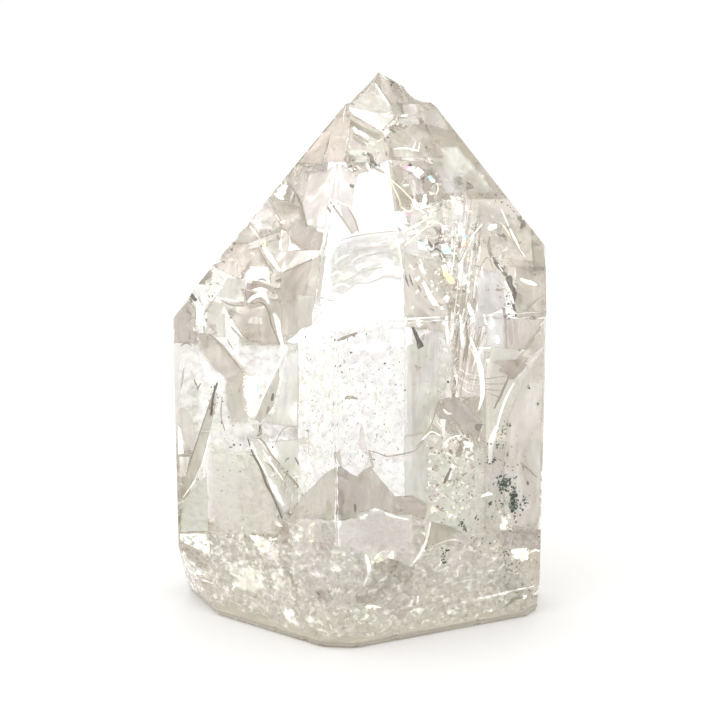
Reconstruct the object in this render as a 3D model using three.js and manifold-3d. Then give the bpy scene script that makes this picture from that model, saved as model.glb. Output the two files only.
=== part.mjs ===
// A polished point of clear quartz: one six-sided crystal, sawn flat at its foot so that it stands,
// with unequal pyramid faces that meet in a chipped tip.
// Millimetres, +Z up. It stands on z = 0 with the middle of its outline on the axis, and -Y is the front.
import * as THREE from 'three';
import { mergeVertices } from 'three/addons/utils/BufferGeometryUtils.js';
import Module from 'manifold-3d';

// Driving dimensions, in millimetres and degrees. A facing is counted round from +X, seen from above,
// and a slope is how far a face is tipped up from lying level.
const TIP = [2.95, 9.8, 70.3];

// Each side: where it faces, how far it stands from the axis, the slope of the pyramid face above it
// and the height at which that face begins. The two back pyramid faces run up to the tip instead.
const SIDES = {
  right: { facing: -5.2, reach: 24.5, slope: 50.6, shoulder: 47.9 },
  frontRight: { facing: -64.5, reach: 16.85, slope: 53.0, shoulder: 40.35 },
  frontLeft: { facing: -127.4, reach: 17.3, slope: 50.4, shoulder: 43.8 },
  left: { facing: -184, reach: 23.6, slope: 51.3, shoulder: 38.9 },
  backLeft: { facing: 119, reach: 17.4, slope: 50 },
  backRight: { facing: 51, reach: 17.0, slope: 55.5 },
};

// The polished band round the foot, and the small bevel under it.
const BAND = { height: 3.4, inset: 0.2 };
const BEVEL = { height: 0.4, inset: 0.2 };

// Flat chips on three upright corners: how high each starts and how far it has eaten in at the floor.
const CORNER_CHIPS = [
  { between: ['frontLeft', 'left'], facing: -152, height: 8, inset: 3.2 },
  { between: ['frontLeft', 'frontRight'], facing: -96, height: 7, inset: 1.7 },
  { between: ['backLeft', 'backRight'], facing: 88, height: 4.4, inset: 1.3 },
];

// The chip struck from the front of the tip: its lowest point, and the two facets that meet in a
// shallow valley running from there up to the tip.
const TIP_CHIP = { lowest: [3.15, 1.4, 62.6], left: [-57, 46], right: [-72, 43.9] };

// Shell-shaped hollows struck out of the edges: the middle and radius of the ball that fits each.
const HOLLOWS = [
  { name: 'left of the tip', middle: [-9.1, 6.7, 77.1], radius: 14 },
  { name: 'crest right of the tip', middle: [9.3, 8.0, 69.85], radius: 3.5 },
  { name: 'foot of the right corner', middle: [25.6, -8.4, 1.2], radius: 3.5 },
  { name: 'foot of the left corner', middle: [-24.6, -4.9, 0.6], radius: 3.2 },
  { name: 'back of the right shoulder', middle: [31, 6.7, 51], radius: 8 },
  { name: 'back of the left side', middle: [-29.4, 12.7, 30], radius: 9 },
];

// Rows of small nicks worn into the pyramid's edges: the two faces that meet in the edge, roughly where
// the row starts and ends, how many nicks it has and the radius of the largest.
const NICKS = [
  { edge: ['frontLeft', 'left'], from: [-16.6, -2.2, 46.9], to: [-8.3, -0.4, 57.4], count: 6, radius: 0.75 },
  { edge: ['right', 'backRight'], from: [20.6, 4.6, 52], to: [14, 6.2, 60], count: 4, radius: 0.8 },
];
// How far each is pushed out of the edge, as a share of its radius, the size of the smallest as a share
// of the largest, and how far each strays along the edge from its even step.
const NICK_SINK = 0.62;
const NICK_SMALLEST = 0.5;
const NICK_STRAY = 0.6;

// Nicks at random places round the foot: how many, the largest radius, the smallest as a share of it, how
// deep each sinks as a share of its own, and the share of a side that stays whole at each corner.
const FOOT_NICKS = { count: 26, radius: 0.75, smallest: 0.45, sink: 0.35, margin: 0.06 };

// How finely the round cutting shapes are divided, how far they are turned so that none of their corners
// lies along an edge, the block that the crystal is cut from, and a length larger than that.
const BALL_DETAIL = { hollow: 7, nick: 2 };
const BALL_TURN = 0.7;
const BLOCK = 80;
const FAR = 300;
const SEED = 11;

const wasm = await Module();
wasm.setup();

function seededRandom(seed) {
  let state = seed;
  return () => {
    state = (state * 1664525 + 1013904223) % 4294967296;
    return state / 4294967296;
  };
}

function toSolid(geometry) {
  geometry.deleteAttribute('normal');
  geometry.deleteAttribute('uv');
  const merged = mergeVertices(geometry);
  return new wasm.Manifold(new wasm.Mesh({
    numProp: 3,
    vertProperties: new Float32Array(merged.attributes.position.array),
    triVerts: new Uint32Array(merged.index.array),
  }));
}

function toGeometry(solid) {
  const mesh = solid.getMesh();
  const geometry = new THREE.BufferGeometry();
  geometry.setAttribute('position', new THREE.BufferAttribute(mesh.vertProperties, 3));
  geometry.setIndex(new THREE.BufferAttribute(mesh.triVerts, 1));
  return geometry;
}

// A face through a point, with its normal pointing out of the crystal
function face(facing, slope, through) {
  const turn = THREE.MathUtils.degToRad(facing);
  const tip = THREE.MathUtils.degToRad(slope);
  const normal = new THREE.Vector3(
    Math.cos(turn) * Math.sin(tip), Math.sin(turn) * Math.sin(tip), Math.cos(tip));
  return new THREE.Plane().setFromNormalAndCoplanarPoint(normal, through);
}

// The point of a side's face at a height, straight out from the axis
function onSide(side, height) {
  const turn = THREE.MathUtils.degToRad(side.facing);
  return new THREE.Vector3(Math.cos(turn) * side.reach, Math.sin(turn) * side.reach, height);
}

function meetingPoint(a, b, c) {
  const rows = new THREE.Matrix3().set(
    a.normal.x, a.normal.y, a.normal.z,
    b.normal.x, b.normal.y, b.normal.z,
    c.normal.x, c.normal.y, c.normal.z);
  return new THREE.Vector3(-a.constant, -b.constant, -c.constant).applyMatrix3(rows.invert());
}

// A block that fills all the space outside a face
function beyond(plane) {
  const block = new THREE.BoxGeometry(FAR, FAR, FAR);
  block.translate(0, 0, FAR / 2);
  block.applyQuaternion(new THREE.Quaternion().setFromUnitVectors(new THREE.Vector3(0, 0, 1), plane.normal));
  const foot = plane.coplanarPoint(new THREE.Vector3());
  block.translate(foot.x, foot.y, foot.z);
  return toSolid(block);
}

function ball(middle, radius, detail) {
  const geometry = new THREE.IcosahedronGeometry(radius, detail);
  geometry.rotateX(BALL_TURN);
  geometry.translate(middle.x, middle.y, middle.z);
  return toSolid(geometry);
}

function floorAt(height) {
  return new THREE.Plane().setFromNormalAndCoplanarPoint(
    new THREE.Vector3(0, 0, -1), new THREE.Vector3(0, 0, height));
}

// The faces that bound the whole crystal
const tip = new THREE.Vector3(...TIP);
const sideFaces = {};
const pyramidFaces = {};
for (const [name, side] of Object.entries(SIDES)) {
  const start = side.shoulder === undefined ? tip : onSide(side, side.shoulder);
  sideFaces[name] = face(side.facing, 90, onSide(side, 0));
  pyramidFaces[name] = face(side.facing, side.slope, start);
}

// The prism as a tall block, cut down by every face
function makeBody() {
  let body = toSolid(new THREE.BoxGeometry(BLOCK, BLOCK, BLOCK).translate(0, 0, BLOCK / 2));
  for (const plane of [...Object.values(sideFaces), ...Object.values(pyramidFaces)]) {
    body = body.subtract(beyond(plane));
  }
  return body;
}

// The tip's chip takes away only what lies outside both of its facets
function chipTip(body) {
  const lowest = new THREE.Vector3(...TIP_CHIP.lowest);
  const [left, right] = [TIP_CHIP.left, TIP_CHIP.right].map((facet) => beyond(face(...facet, lowest)));
  return body.subtract(left.intersect(right));
}

// Round the foot: a band that leans in towards the floor, then a bevel
function dressFoot(body) {
  for (const side of Object.values(SIDES)) {
    for (const { height, inset, from } of [{ ...BAND, from: 0 }, { ...BEVEL, from: BAND.inset }]) {
      const lean = THREE.MathUtils.radToDeg(Math.atan2(inset, height));
      const top = onSide({ facing: side.facing, reach: side.reach - from }, height);
      body = body.subtract(beyond(face(side.facing, 90 + lean, top)));
    }
  }
  return body;
}

function chipCorners(body) {
  for (const { between, facing, height, inset } of CORNER_CHIPS) {
    const top = meetingPoint(sideFaces[between[0]], sideFaces[between[1]], floorAt(height));
    const lean = THREE.MathUtils.radToDeg(Math.atan2(inset, height));
    body = body.subtract(beyond(face(facing, 90 + lean, top)));
  }
  return body;
}

function strikeHollows(body) {
  for (const { middle, radius } of HOLLOWS) {
    body = body.subtract(ball(new THREE.Vector3(...middle), radius, BALL_DETAIL.hollow));
  }
  return body;
}

// Small nicks along the pyramid edges, each pushed out so that it only bites the edge
function nickEdges(body, random) {
  for (const { edge, from, to, count, radius } of NICKS) {
    const [first, second] = edge.map((name) => pyramidFaces[name]);
    const outward = first.normal.clone().add(second.normal).normalize();
    const start = new THREE.Vector3(...from);
    const end = new THREE.Vector3(...to);
    for (let i = 0; i < count; i += 1) {
      const size = radius * (NICK_SMALLEST + (1 - NICK_SMALLEST) * random());
      const spot = start.clone().lerp(end, (i + NICK_STRAY * random()) / count);
      const across = new THREE.Vector3().crossVectors(first.normal, second.normal).normalize();
      const square = new THREE.Plane().setFromNormalAndCoplanarPoint(across, spot);
      const onEdge = meetingPoint(first, second, square);
      body = body.subtract(ball(onEdge.addScaledVector(outward, size * NICK_SINK), size, BALL_DETAIL.nick));
    }
  }
  return body;
}

// Small nicks at random places round the foot's lower edge
function nickFoot(body, random) {
  const names = Object.keys(SIDES);
  for (let i = 0; i < FOOT_NICKS.count; i += 1) {
    const k = i % names.length;
    const [before, here, after] = [k + names.length - 1, k, k + 1]
      .map((n) => sideFaces[names[n % names.length]]);
    const level = floorAt(0);
    const a = meetingPoint(before, here, level);
    const b = meetingPoint(here, after, level);
    const size = FOOT_NICKS.radius * (FOOT_NICKS.smallest + (1 - FOOT_NICKS.smallest) * random());
    const spot = a.lerp(b, FOOT_NICKS.margin + (1 - 2 * FOOT_NICKS.margin) * random());
    spot.addScaledVector(here.normal, size * FOOT_NICKS.sink - BAND.inset);
    spot.z = BEVEL.height * random();
    body = body.subtract(ball(spot, size, BALL_DETAIL.nick));
  }
  return body;
}

function makePoint() {
  const random = seededRandom(SEED);
  let body = makeBody();
  body = chipTip(body);
  body = dressFoot(body);
  body = chipCorners(body);
  body = strikeHollows(body);
  body = nickEdges(body, random);
  body = nickFoot(body, random);
  const geometry = toGeometry(body);
  geometry.computeBoundingBox();
  const middle = geometry.boundingBox.getCenter(new THREE.Vector3());
  geometry.translate(-middle.x, -middle.y, -geometry.boundingBox.min.z);
  return geometry;
}

const quartz = new THREE.MeshStandardMaterial({ color: '#e9e5de', roughness: 0.05, metalness: 0 });
const crystal = new THREE.Mesh(makePoint(), quartz);
crystal.name = 'quartz_point';

const group = new THREE.Group();
group.add(crystal);

export default group;
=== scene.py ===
import math
import bpy
import numpy as np
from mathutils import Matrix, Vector
from mathutils.bvhtree import BVHTree


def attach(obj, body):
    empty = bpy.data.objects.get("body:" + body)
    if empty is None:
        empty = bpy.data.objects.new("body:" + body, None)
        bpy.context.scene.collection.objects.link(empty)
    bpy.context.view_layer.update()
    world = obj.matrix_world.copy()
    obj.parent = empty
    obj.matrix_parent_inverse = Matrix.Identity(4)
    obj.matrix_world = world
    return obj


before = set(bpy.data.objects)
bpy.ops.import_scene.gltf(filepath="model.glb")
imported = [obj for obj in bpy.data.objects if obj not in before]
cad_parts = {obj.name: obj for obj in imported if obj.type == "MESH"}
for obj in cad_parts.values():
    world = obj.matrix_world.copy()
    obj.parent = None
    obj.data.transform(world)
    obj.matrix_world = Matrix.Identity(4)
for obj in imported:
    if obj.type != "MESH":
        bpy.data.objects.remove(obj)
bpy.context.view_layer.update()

# Camera
# The photograph looks a little down on the crystal from about two and a half times its height away.
camera_data = bpy.data.cameras.new("camera")
camera_data.lens = 67.886
camera_data.sensor_width = 36.0
camera_data.clip_start = 0.01
camera_data.clip_end = 20.0
camera = bpy.data.objects.new("camera", camera_data)
camera.location = (-0.000092, -0.177558, 0.06635)
camera.rotation_euler = (math.radians(79.27), 0.0, 0.0)
bpy.context.collection.objects.link(camera)
bpy.context.scene.camera = camera


# Studio
# A white table top that runs out of sight, with a soft beige band of painted shadow across it to the left
# of and in front of the crystal, a white surround low down all round, a warm grey room above it, a white
# ceiling and a soft box to the left.
def new_mesh(name, points, faces):
    """A mesh from an array of points and a list of faces."""
    mesh = bpy.data.meshes.new(name)
    mesh.from_pydata(points.reshape(-1, 3).tolist(), [], faces)
    return mesh


def feed(target, inputs):
    """Gives inputs of a node a plain value, or a link where the value is another node's output."""
    for key, value in inputs.items():
        if isinstance(value, bpy.types.NodeSocket):
            target.id_data.links.new(value, target.inputs[key])
        else:
            target.inputs[key].default_value = value


def node(tree, kind, inputs, out=0, **settings):
    """A new node of a kind, with its settings and inputs. Gives one of its outputs."""
    made = tree.nodes.new("ShaderNode" + kind)
    for key, value in settings.items():
        setattr(made, key, value)
    feed(made, inputs)
    return made.outputs[out]


def spread(tree, value, low, high, to_low=0.0, to_high=1.0):
    """A value carried from one range to another and held at its ends."""
    return node(tree, "MapRange", {"Value": value, "From Min": low, "From Max": high,
                                   "To Min": to_low, "To Max": to_high})


def ramp(tree, value, *stops):
    """The colour that a value picks from stops, each a place from 0 to 1 and a colour."""
    colour = node(tree, "ValToRGB", {"Fac": value}, "Color")
    elements = colour.node.color_ramp.elements
    elements[0].position, elements[1].position = stops[0][0], stops[-1][0]
    for place, _ in stops[1:-1]:
        elements.new(place)
    for element, (_, shade) in zip(elements, stops):
        element.color = (*shade, 1.0)
    return colour


def new_finish(name):
    """A new material, its node tree, its shader and the place on the piece."""
    finish = bpy.data.materials.new(name)
    finish.use_nodes = True
    tree = finish.node_tree
    return finish, tree, tree.nodes["Principled BSDF"], node(tree, "TexCoord", {}, "Object")


TABLE_TOP = -0.00015
TABLE_RINGS = (0.05, 0.12, 0.3, 1.0, 6.0)
TABLE_SPOKES = 64
turn = np.linspace(0.0, 2.0 * np.pi, TABLE_SPOKES, endpoint=False)
table_points = np.full((1 + len(TABLE_RINGS) * TABLE_SPOKES, 3), (0.0, 0.0, TABLE_TOP))
table_points[1:, 0] = np.outer(TABLE_RINGS, np.cos(turn)).ravel()
table_points[1:, 1] = np.outer(TABLE_RINGS, np.sin(turn)).ravel()
spoke = np.arange(TABLE_SPOKES)
after = (spoke + 1) % TABLE_SPOKES
table_faces = np.stack([np.zeros_like(spoke), 1 + spoke, 1 + after], axis=-1).tolist()
for ring in range(len(TABLE_RINGS) - 1):
    inner, outer = 1 + ring * TABLE_SPOKES, 1 + (ring + 1) * TABLE_SPOKES
    table_faces += np.stack([inner + spoke, outer + spoke, outer + after, inner + after], axis=-1).tolist()
table_mesh = new_mesh("table_top", table_points, table_faces)
table_top = bpy.data.objects.new("table_top", table_mesh)
bpy.context.collection.objects.link(table_top)

PAPER = (0.80, 0.80, 0.80)
PAINTED_SHADOW_ACROSS = (0.90, 0.43, 0.0)
paper, tree, shader, place = new_finish("white_table")
# Painted shadow: the table turns beige in a soft band about 60 to 120 mm out towards the left front, and is
# white again beyond it.
across = node(tree, "VectorMath", {0: place, 1: PAINTED_SHADOW_ACROSS}, "Value", operation="DOT_PRODUCT")
table_painted_shadow = ramp(tree, spread(tree, across, -0.2, 0.0), (0.05, PAPER), (0.40, (0.50, 0.46, 0.41)),
                  (0.69, (0.57, 0.535, 0.475)), (0.75, PAPER))
feed(shader, {"Base Color": table_painted_shadow, "Roughness": 0.6})
table_mesh.materials.append(paper)

world = bpy.data.worlds.new("studio")
world.use_nodes = True
bpy.context.scene.world = world
tree = world.node_tree
height = node(tree, "SeparateXYZ", {"Vector": node(tree, "TexCoord", {}, "Generated")}, "Z")
room = ramp(tree, height, (0.10, (1.02, 1.02, 1.02)), (0.34, (0.80, 0.745, 0.69)),
            (0.66, (0.82, 0.78, 0.74)), (0.80, (2.0, 2.0, 2.0)))
feed(tree.nodes["Background"], {"Color": room, "Strength": 1.0})


def soft_box(name, place, aim, size, power):
    """A square lamp at a place, turned so that it shines at a point."""
    lamp = bpy.data.lights.new(name, "AREA")
    lamp.shape = "SQUARE"
    lamp.size = size
    lamp.energy = power
    holder = bpy.data.objects.new(name, lamp)
    holder.location = place
    holder.rotation_euler = (Vector(aim) - Vector(place)).to_track_quat("-Z", "Y").to_euler()
    bpy.context.collection.objects.link(holder)


soft_box("lamp_left", (-0.5, -0.25, 0.55), (0.0, 0.0, 0.03), 0.7, 1.4)


# Crystal
# One piece of clear quartz, cut to six sides and a pyramid and polished all over. The polish is faintly
# wavy and a little duller in patches, from handling.
def noise(tree, place, scale, detail=2.0, distortion=0.0):
    """A cloudy pattern of values from 0 to 1."""
    return node(tree, "TexNoise", {"Vector": place, "Scale": scale, "Detail": detail,
                                   "Distortion": distortion})


def bumps(tree, height, strength, distance):
    """A normal tilted by a height."""
    return node(tree, "Bump", {"Height": height, "Strength": strength, "Distance": distance})


QUARTZ_INDEX = 1.544
quartz, tree, glass, place = new_finish("clear_quartz")
polish = noise(tree, place, 160.0, 3.0)
feed(glass, {"Base Color": (1.0, 1.0, 1.0, 1.0), "IOR": QUARTZ_INDEX, "Transmission Weight": 1.0,
             "Roughness": spread(tree, polish, 0.5, 0.8, 0.0, 0.02),
             "Normal": bumps(tree, polish, 0.04, 0.0002)})
body_tint = node(tree, "VolumeAbsorption", {"Color": (0.90, 0.885, 0.865, 1.0), "Density": 20.0})
feed(tree.nodes["Material Output"], {"Volume": body_tint})
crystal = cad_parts["quartz_point"]
crystal.data.materials.clear()
crystal.data.materials.append(quartz)


# Cracks in the left of the pyramid
# Flat and bowed cracks, each a film of air too thin to measure, so each is a single skin. The warm room
# and the white table that they reflect are painted into their tones, from dark to white, as painted
# reflection and shade, and their bright fronts glow as painted highlights.
# A crack is given by two rails, as spots of the photograph with their depth along the line of sight.
def measured(items, key, width):
    """A measure of all the vertices or faces of a mesh, as an array."""
    values = np.empty(len(items) * width)
    items.foreach_get(key, values)
    return values.reshape(-1, width)


PHOTO_SIDE = 720.0
SIGHT = PHOTO_SIDE * camera_data.lens / camera_data.sensor_width
SKIN_GAP = 0.0004
MOVED_IN = 0.99
FLAT_LEAST = 4e-6
faces = crystal.data.polygons
polished = BVHTree.FromPolygons(measured(crystal.data.vertices, "co", 3).tolist(),
                                [tuple(face.vertices) for face in faces])
normals, middles = measured(faces, "normal", 3), measured(faces, "center", 3)
outer_faces = np.hstack([normals, (normals * middles).sum(axis=1, keepdims=True)])
outer_faces = np.unique(outer_faces[measured(faces, "area", 1)[:, 0] > FLAT_LEAST].round(5), axis=0)
outer_faces = outer_faces[[(middles @ face[:3] - face[3]).max() < SKIN_GAP / 2 for face in outer_faces]]


def into_crystal(px, py, deep):
    """A spot inside the crystal: the line of sight of a pixel, bent by Snell's law where it meets the
    polished face, and followed for a depth in millimetres, stopping short of the far side. A pixel just
    outside the outline moves in towards the middle of the picture until it meets the crystal."""
    aside, above = px - PHOTO_SIDE / 2, PHOTO_SIDE / 2 - py
    spot = None
    while spot is None:
        sight = camera.rotation_euler.to_matrix() @ Vector((aside / SIGHT, above / SIGHT, -1.0))
        sight.normalize()
        spot, outward, _, _ = polished.ray_cast(camera.location, sight)
        aside, above = MOVED_IN * aside, MOVED_IN * above
    slant = -sight.dot(outward)
    bent = sight / QUARTZ_INDEX
    bent += outward * (slant / QUARTZ_INDEX - math.sqrt(1.0 - (1.0 - slant ** 2) / QUARTZ_INDEX ** 2))
    room = polished.ray_cast(spot + bent * SKIN_GAP, bent)[3] or 0.0
    return spot + bent * max(min(deep / 1000.0, room - SKIN_GAP), min(SKIN_GAP, room / 2.0))


def keep_inside(points):
    """Points pushed back along each flat outer face's normal until they lie a skin's gap behind it."""
    for *outward, distance in outer_faces:
        beyond = points @ np.array(outward) - distance + SKIN_GAP / 2
        points = points - np.maximum(beyond, 0.0)[..., None] * outward
    return points


def curve(knots, count, smooth=True):
    """Points along a line through knots: straight from knot to knot, or a curve whose slope at each knot is
    half the step between its neighbours."""
    place = np.linspace(0.0, len(knots) - 1.0, count)
    start = np.minimum(place.astype(int), len(knots) - 2)
    t = (place - start)[:, None]
    if not smooth:
        return knots[start] * (1.0 - t) + knots[start + 1] * t
    ends = np.vstack([2 * knots[0] - knots[1], knots, 2 * knots[-1] - knots[-2]])
    a, b, c, d = (ends[start + k] for k in range(4))
    bend, twist = 2 * a - 5 * b + 4 * c - d, 3 * b - a - 3 * c + d
    return 0.5 * (2 * b + (c - a) * t + bend * t ** 2 + twist * t ** 3)


def soft_noise(rng, count, waves):
    """A random line from -1 to 1: random heights at even steps joined by straight lines, with finer ones of
    two fifths of their height on top."""
    line = np.zeros(count)
    for number, high in ((waves, 0.7), (3 * waves, 0.3)):
        heights = rng.uniform(-high, high, number + 1)
        line += np.interp(np.linspace(0.0, number, count), np.arange(number + 1), heights)
    return line


def crack(left, right, tone=(0.5, 0.5), cover=0.7, bow=0.0, smooth=False, torn=0.04, size=(25, 9),
          lumpy=0.0, tint=0.5, fade=0.0):
    """A skin between two rails: P(u, v) = (1 - u) left(v) + u right(v), bowed along its normal by
    bow * 4u(1 - u), with both rails pushed about by a random share of its width. A lumpy skin is also
    pushed along its normal by a sum of eight sine waves that run across it in random directions. Its cover
    fades out over a share of its size at the rim."""
    rows, cols = size
    rng = np.random.default_rng(int(10.0 * (left[0][0] + left[0][1] + right[-1][0])))
    a, b = (curve(np.array([into_crystal(*spot) for spot in side]), rows, smooth) for side in (left, right))
    width = b - a
    a, b = (rail + width * torn * soft_noise(rng, rows, max(2, rows // 5))[:, None] for rail in (a, b))
    u = np.linspace(0.0, 1.0, cols)[None, :, None]
    v = np.linspace(0.0, 1.0, rows)[:, None, None]
    points = a[:, None] * (1.0 - u) + b[:, None] * u
    normal = np.cross(a[-1] - a[0], (b - a).mean(axis=0))
    normal /= np.linalg.norm(normal) + 1e-12
    if normal[1] > 0:
        normal = -normal
    points = points + normal * (bow / 1000.0) * 4.0 * u * (1.0 - u)
    if lumpy:
        turns = rng.uniform(-1.0, 1.0, (8, 3)) * (9.0, 9.0, 1.0)
        waves = np.sin(2.0 * np.pi * (turns[:, 0] * u + turns[:, 1] * v + turns[:, 2])).mean(axis=-1)
        points = points + normal * (lumpy / 1000.0) * waves[..., None]
    u, v = np.broadcast_arrays(u[..., 0], v[..., 0])
    rim = np.minimum(np.minimum(u, 1.0 - u), np.minimum(v, 1.0 - v))
    return {"points": keep_inside(points), "map": np.dstack([u, v]),
            "tone": tone[0] * (1.0 - v) + tone[1] * v, "tint": np.full((rows, cols), tint),
            "cover": cover * (np.clip(rim / fade, 0.0, 1.0) if fade else np.ones_like(rim))}


def pane(spots, deep, tone, cover=0.75, **shape):
    """A crack given by its outline: the first half of the spots runs down its left side and the other half
    down its right side, with one depth for each side."""
    half = len(spots) // 2
    rails = [[(x, y, depth) for x, y in side] for side, depth in zip((spots[:half], spots[half:]), deep)]
    return crack(*rails, tone, cover, **shape)


def sliver(path, wide, tone, deep=3.0, tint=0.5, cover=0.9, torn=0.25):
    """A narrow skin along a curve through some spots, widest in its middle and pointed at both ends."""
    count = 4 * len(path) + 3
    line = curve(np.array(path, float), count)
    along = np.gradient(line, axis=0)
    side = np.stack([-along[:, 1], along[:, 0]], axis=1) / np.linalg.norm(along, axis=1, keepdims=True)
    side *= 0.5 * wide * np.sqrt(np.sin(np.linspace(0.08, 0.92, count) * np.pi))[:, None]
    return crack([(x, y, deep) for x, y in line + side], [(x, y, deep) for x, y in line - side],
                 (tone, tone), cover, torn=torn, size=(count, 4), tint=tint)


def add_piece(mesh, material):
    """An object from a mesh, fixed in the crystal."""
    mesh.materials.append(material)
    piece = bpy.data.objects.new(mesh.name, mesh)
    bpy.context.collection.objects.link(piece)
    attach(piece, "root")


def join_cracks(name, skins, material):
    """One piece from many skins, each keeping its own 0 to 1 map, tone, cover and tint."""
    corners, faces, before = [], [], 0
    for skin in skins:
        rows, cols = skin["tone"].shape
        index = before + np.arange(rows * cols).reshape(rows, cols)
        quads = np.stack([index[:-1, :-1], index[:-1, 1:], index[1:, 1:], index[1:, :-1]], axis=-1)
        across = skin["points"][0, -1] - skin["points"][0, 0]
        if np.cross(across, skin["points"][-1, 0] - skin["points"][0, 0])[1] > 0:
            quads = quads[..., ::-1]
        corners.append(skin["points"].reshape(-1, 3))
        faces.append(quads.reshape(-1, 4))
        before += rows * cols
    faces = np.vstack(faces)
    mesh = new_mesh(name, np.vstack(corners), faces.tolist())
    maps = np.vstack([skin["map"].reshape(-1, 2) for skin in skins])
    layer = mesh.uv_layers.new(name="skin")
    layer.data.foreach_set("uv", maps[faces.ravel()].ravel().astype(np.float32))
    for key in ("tone", "cover", "tint"):
        values = np.concatenate([skin[key].ravel() for skin in skins]).astype(np.float32)
        mesh.attributes.new(key, "FLOAT", "POINT").data.foreach_set("value", values)
    mesh.polygons.foreach_set("use_smooth", [True] * len(mesh.polygons))
    add_piece(mesh, material)


def maths(tree, operation, *values, clamp=False):
    """Values put together by a Math node."""
    return node(tree, "Math", dict(enumerate(values)), operation=operation, use_clamp=clamp)


def blend(tree, share, first, second, kind="MIX"):
    """Two colours mixed by a share, or multiplied."""
    return node(tree, "Mix", {"Factor": share, "A": first, "B": second}, "Result",
                data_type="RGBA", blend_type=kind)


def of_skin(tree, key):
    """One of the measures that each point of a skin carries."""
    return node(tree, "Attribute", {}, "Fac", attribute_name=key)


RAGGED, SKIN_EDGE, SOFT_EDGE = 0.10, 0.545, 0.02


def torn_edge_group():
    """Node group: 1 inside a skin, falling to 0 at a ragged outline, and a line that runs along it."""
    group = bpy.data.node_groups.new("torn_edge", "ShaderNodeTree")
    for label, side in (("Width", "INPUT"), ("Grain", "INPUT"), ("Inside", "OUTPUT"), ("Line", "OUTPUT")):
        group.interface.new_socket(label, in_out=side, socket_type="NodeSocketFloat")
    given = group.nodes.new("NodeGroupInput").outputs
    place = node(group, "TexCoord", {}, "Object")
    flat = node(group, "UVMap", {}, uv_map="skin")
    centred = node(group, "VectorMath", {0: flat, 1: (0.5, 0.5, 0.0)}, operation="SUBTRACT")
    size = node(group, "VectorMath", {0: centred}, operation="ABSOLUTE")
    from_middle = node(group, "SeparateXYZ", {0: size}).node.outputs
    far = maths(group, "MAXIMUM", from_middle["X"], from_middle["Y"])
    ragged = maths(group, "MULTIPLY_ADD", noise(group, place, given["Grain"], 3.0), RAGGED, far)
    edge = maths(group, "SUBTRACT", SKIN_EDGE, ragged)
    feed(group.nodes.new("NodeGroupOutput"), {"Inside": spread(group, edge, 0.0, SOFT_EDGE),
                                              "Line": spread(group, edge, 0.0, given["Width"], 1.0, 0.0)})
    return group


torn_edge = torn_edge_group()
# Crack tones: painted reflection and shade, from nearly black to white. LIT sets their painted glow, which is
# strongest for the brightest tones.
TONES = ((0.0, (0.08, 0.07, 0.055)), (0.25, (0.35, 0.305, 0.255)), (0.5, (0.57, 0.52, 0.465)),
         (0.75, (0.77, 0.757, 0.735)), (1.0, (1.0, 1.0, 1.0)))
HUES = ((0.2, (0.965, 0.965, 1.0)), (0.55, (0.955, 1.0, 0.905)), (1.0, (1.0, 0.98, 0.945)))
LIT = ((0.0, (0.0, 0.0, 0.0)), (0.86, (0.28, 0.28, 0.28)), (1.0, (1.0, 1.0, 1.0)))
FILM_INDEX, EDGE_GRAIN, EDGE_DARK, STAIN_SCALE = 1.3, 900.0, -0.22, 260.0


def crack_finish(name, streak=(400.0, 400.0, 150.0), mirror=0.5, rough=0.22, relief=0.4, glow=0.8,
                 line=0.05, vary=0.13, rose=(1.0, 0.93, 0.93)):
    """A crack's finish: its tone, painted reflection and shade from nearly black to white, streaked and
    clouded, stained from blue over green and yellow to rose, shiny in part, glowing with painted light that
    is strongest in its whitest tones, thin enough to see through by its cover, with a darker line along its
    torn outline."""
    finish, tree, film, place = new_finish(name)
    streaked = node(tree, "Mapping", {"Vector": place, "Scale": streak})
    clouds = noise(tree, streaked, 1.0, 5.0, 0.6)
    edge = node(tree, "Group", {"Width": line, "Grain": EDGE_GRAIN}, node_tree=torn_edge).node.outputs
    varied = maths(tree, "ADD", of_skin(tree, "tone"), spread(tree, clouds, 0.3, 0.7, -vary, vary))
    tone = maths(tree, "MULTIPLY_ADD", edge["Line"], EDGE_DARK, varied)
    hue = maths(tree, "ADD", noise(tree, place, STAIN_SCALE), of_skin(tree, "tint"))
    stain = blend(tree, spread(tree, hue, 1.0, 1.5), ramp(tree, hue, *HUES), (*rose, 1.0))
    colour = blend(tree, 1.0, ramp(tree, tone, *TONES), stain, "MULTIPLY")
    seen = maths(tree, "MULTIPLY", spread(tree, clouds, 0.25, 0.65, 0.75, 1.1), of_skin(tree, "cover"))
    feed(film, {"Base Color": colour, "Metallic": mirror, "IOR": FILM_INDEX,
                "Emission Color": blend(tree, 1.0, ramp(tree, tone, *LIT), colour, "MULTIPLY"),
                "Emission Strength": glow,
                "Alpha": maths(tree, "MULTIPLY", seen, edge["Inside"], clamp=True),
                "Roughness": spread(tree, clouds, 0.0, 1.0, rough * 0.5, rough * 1.6),
                "Normal": bumps(tree, clouds, relief, 0.0006)})
    return finish


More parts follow.
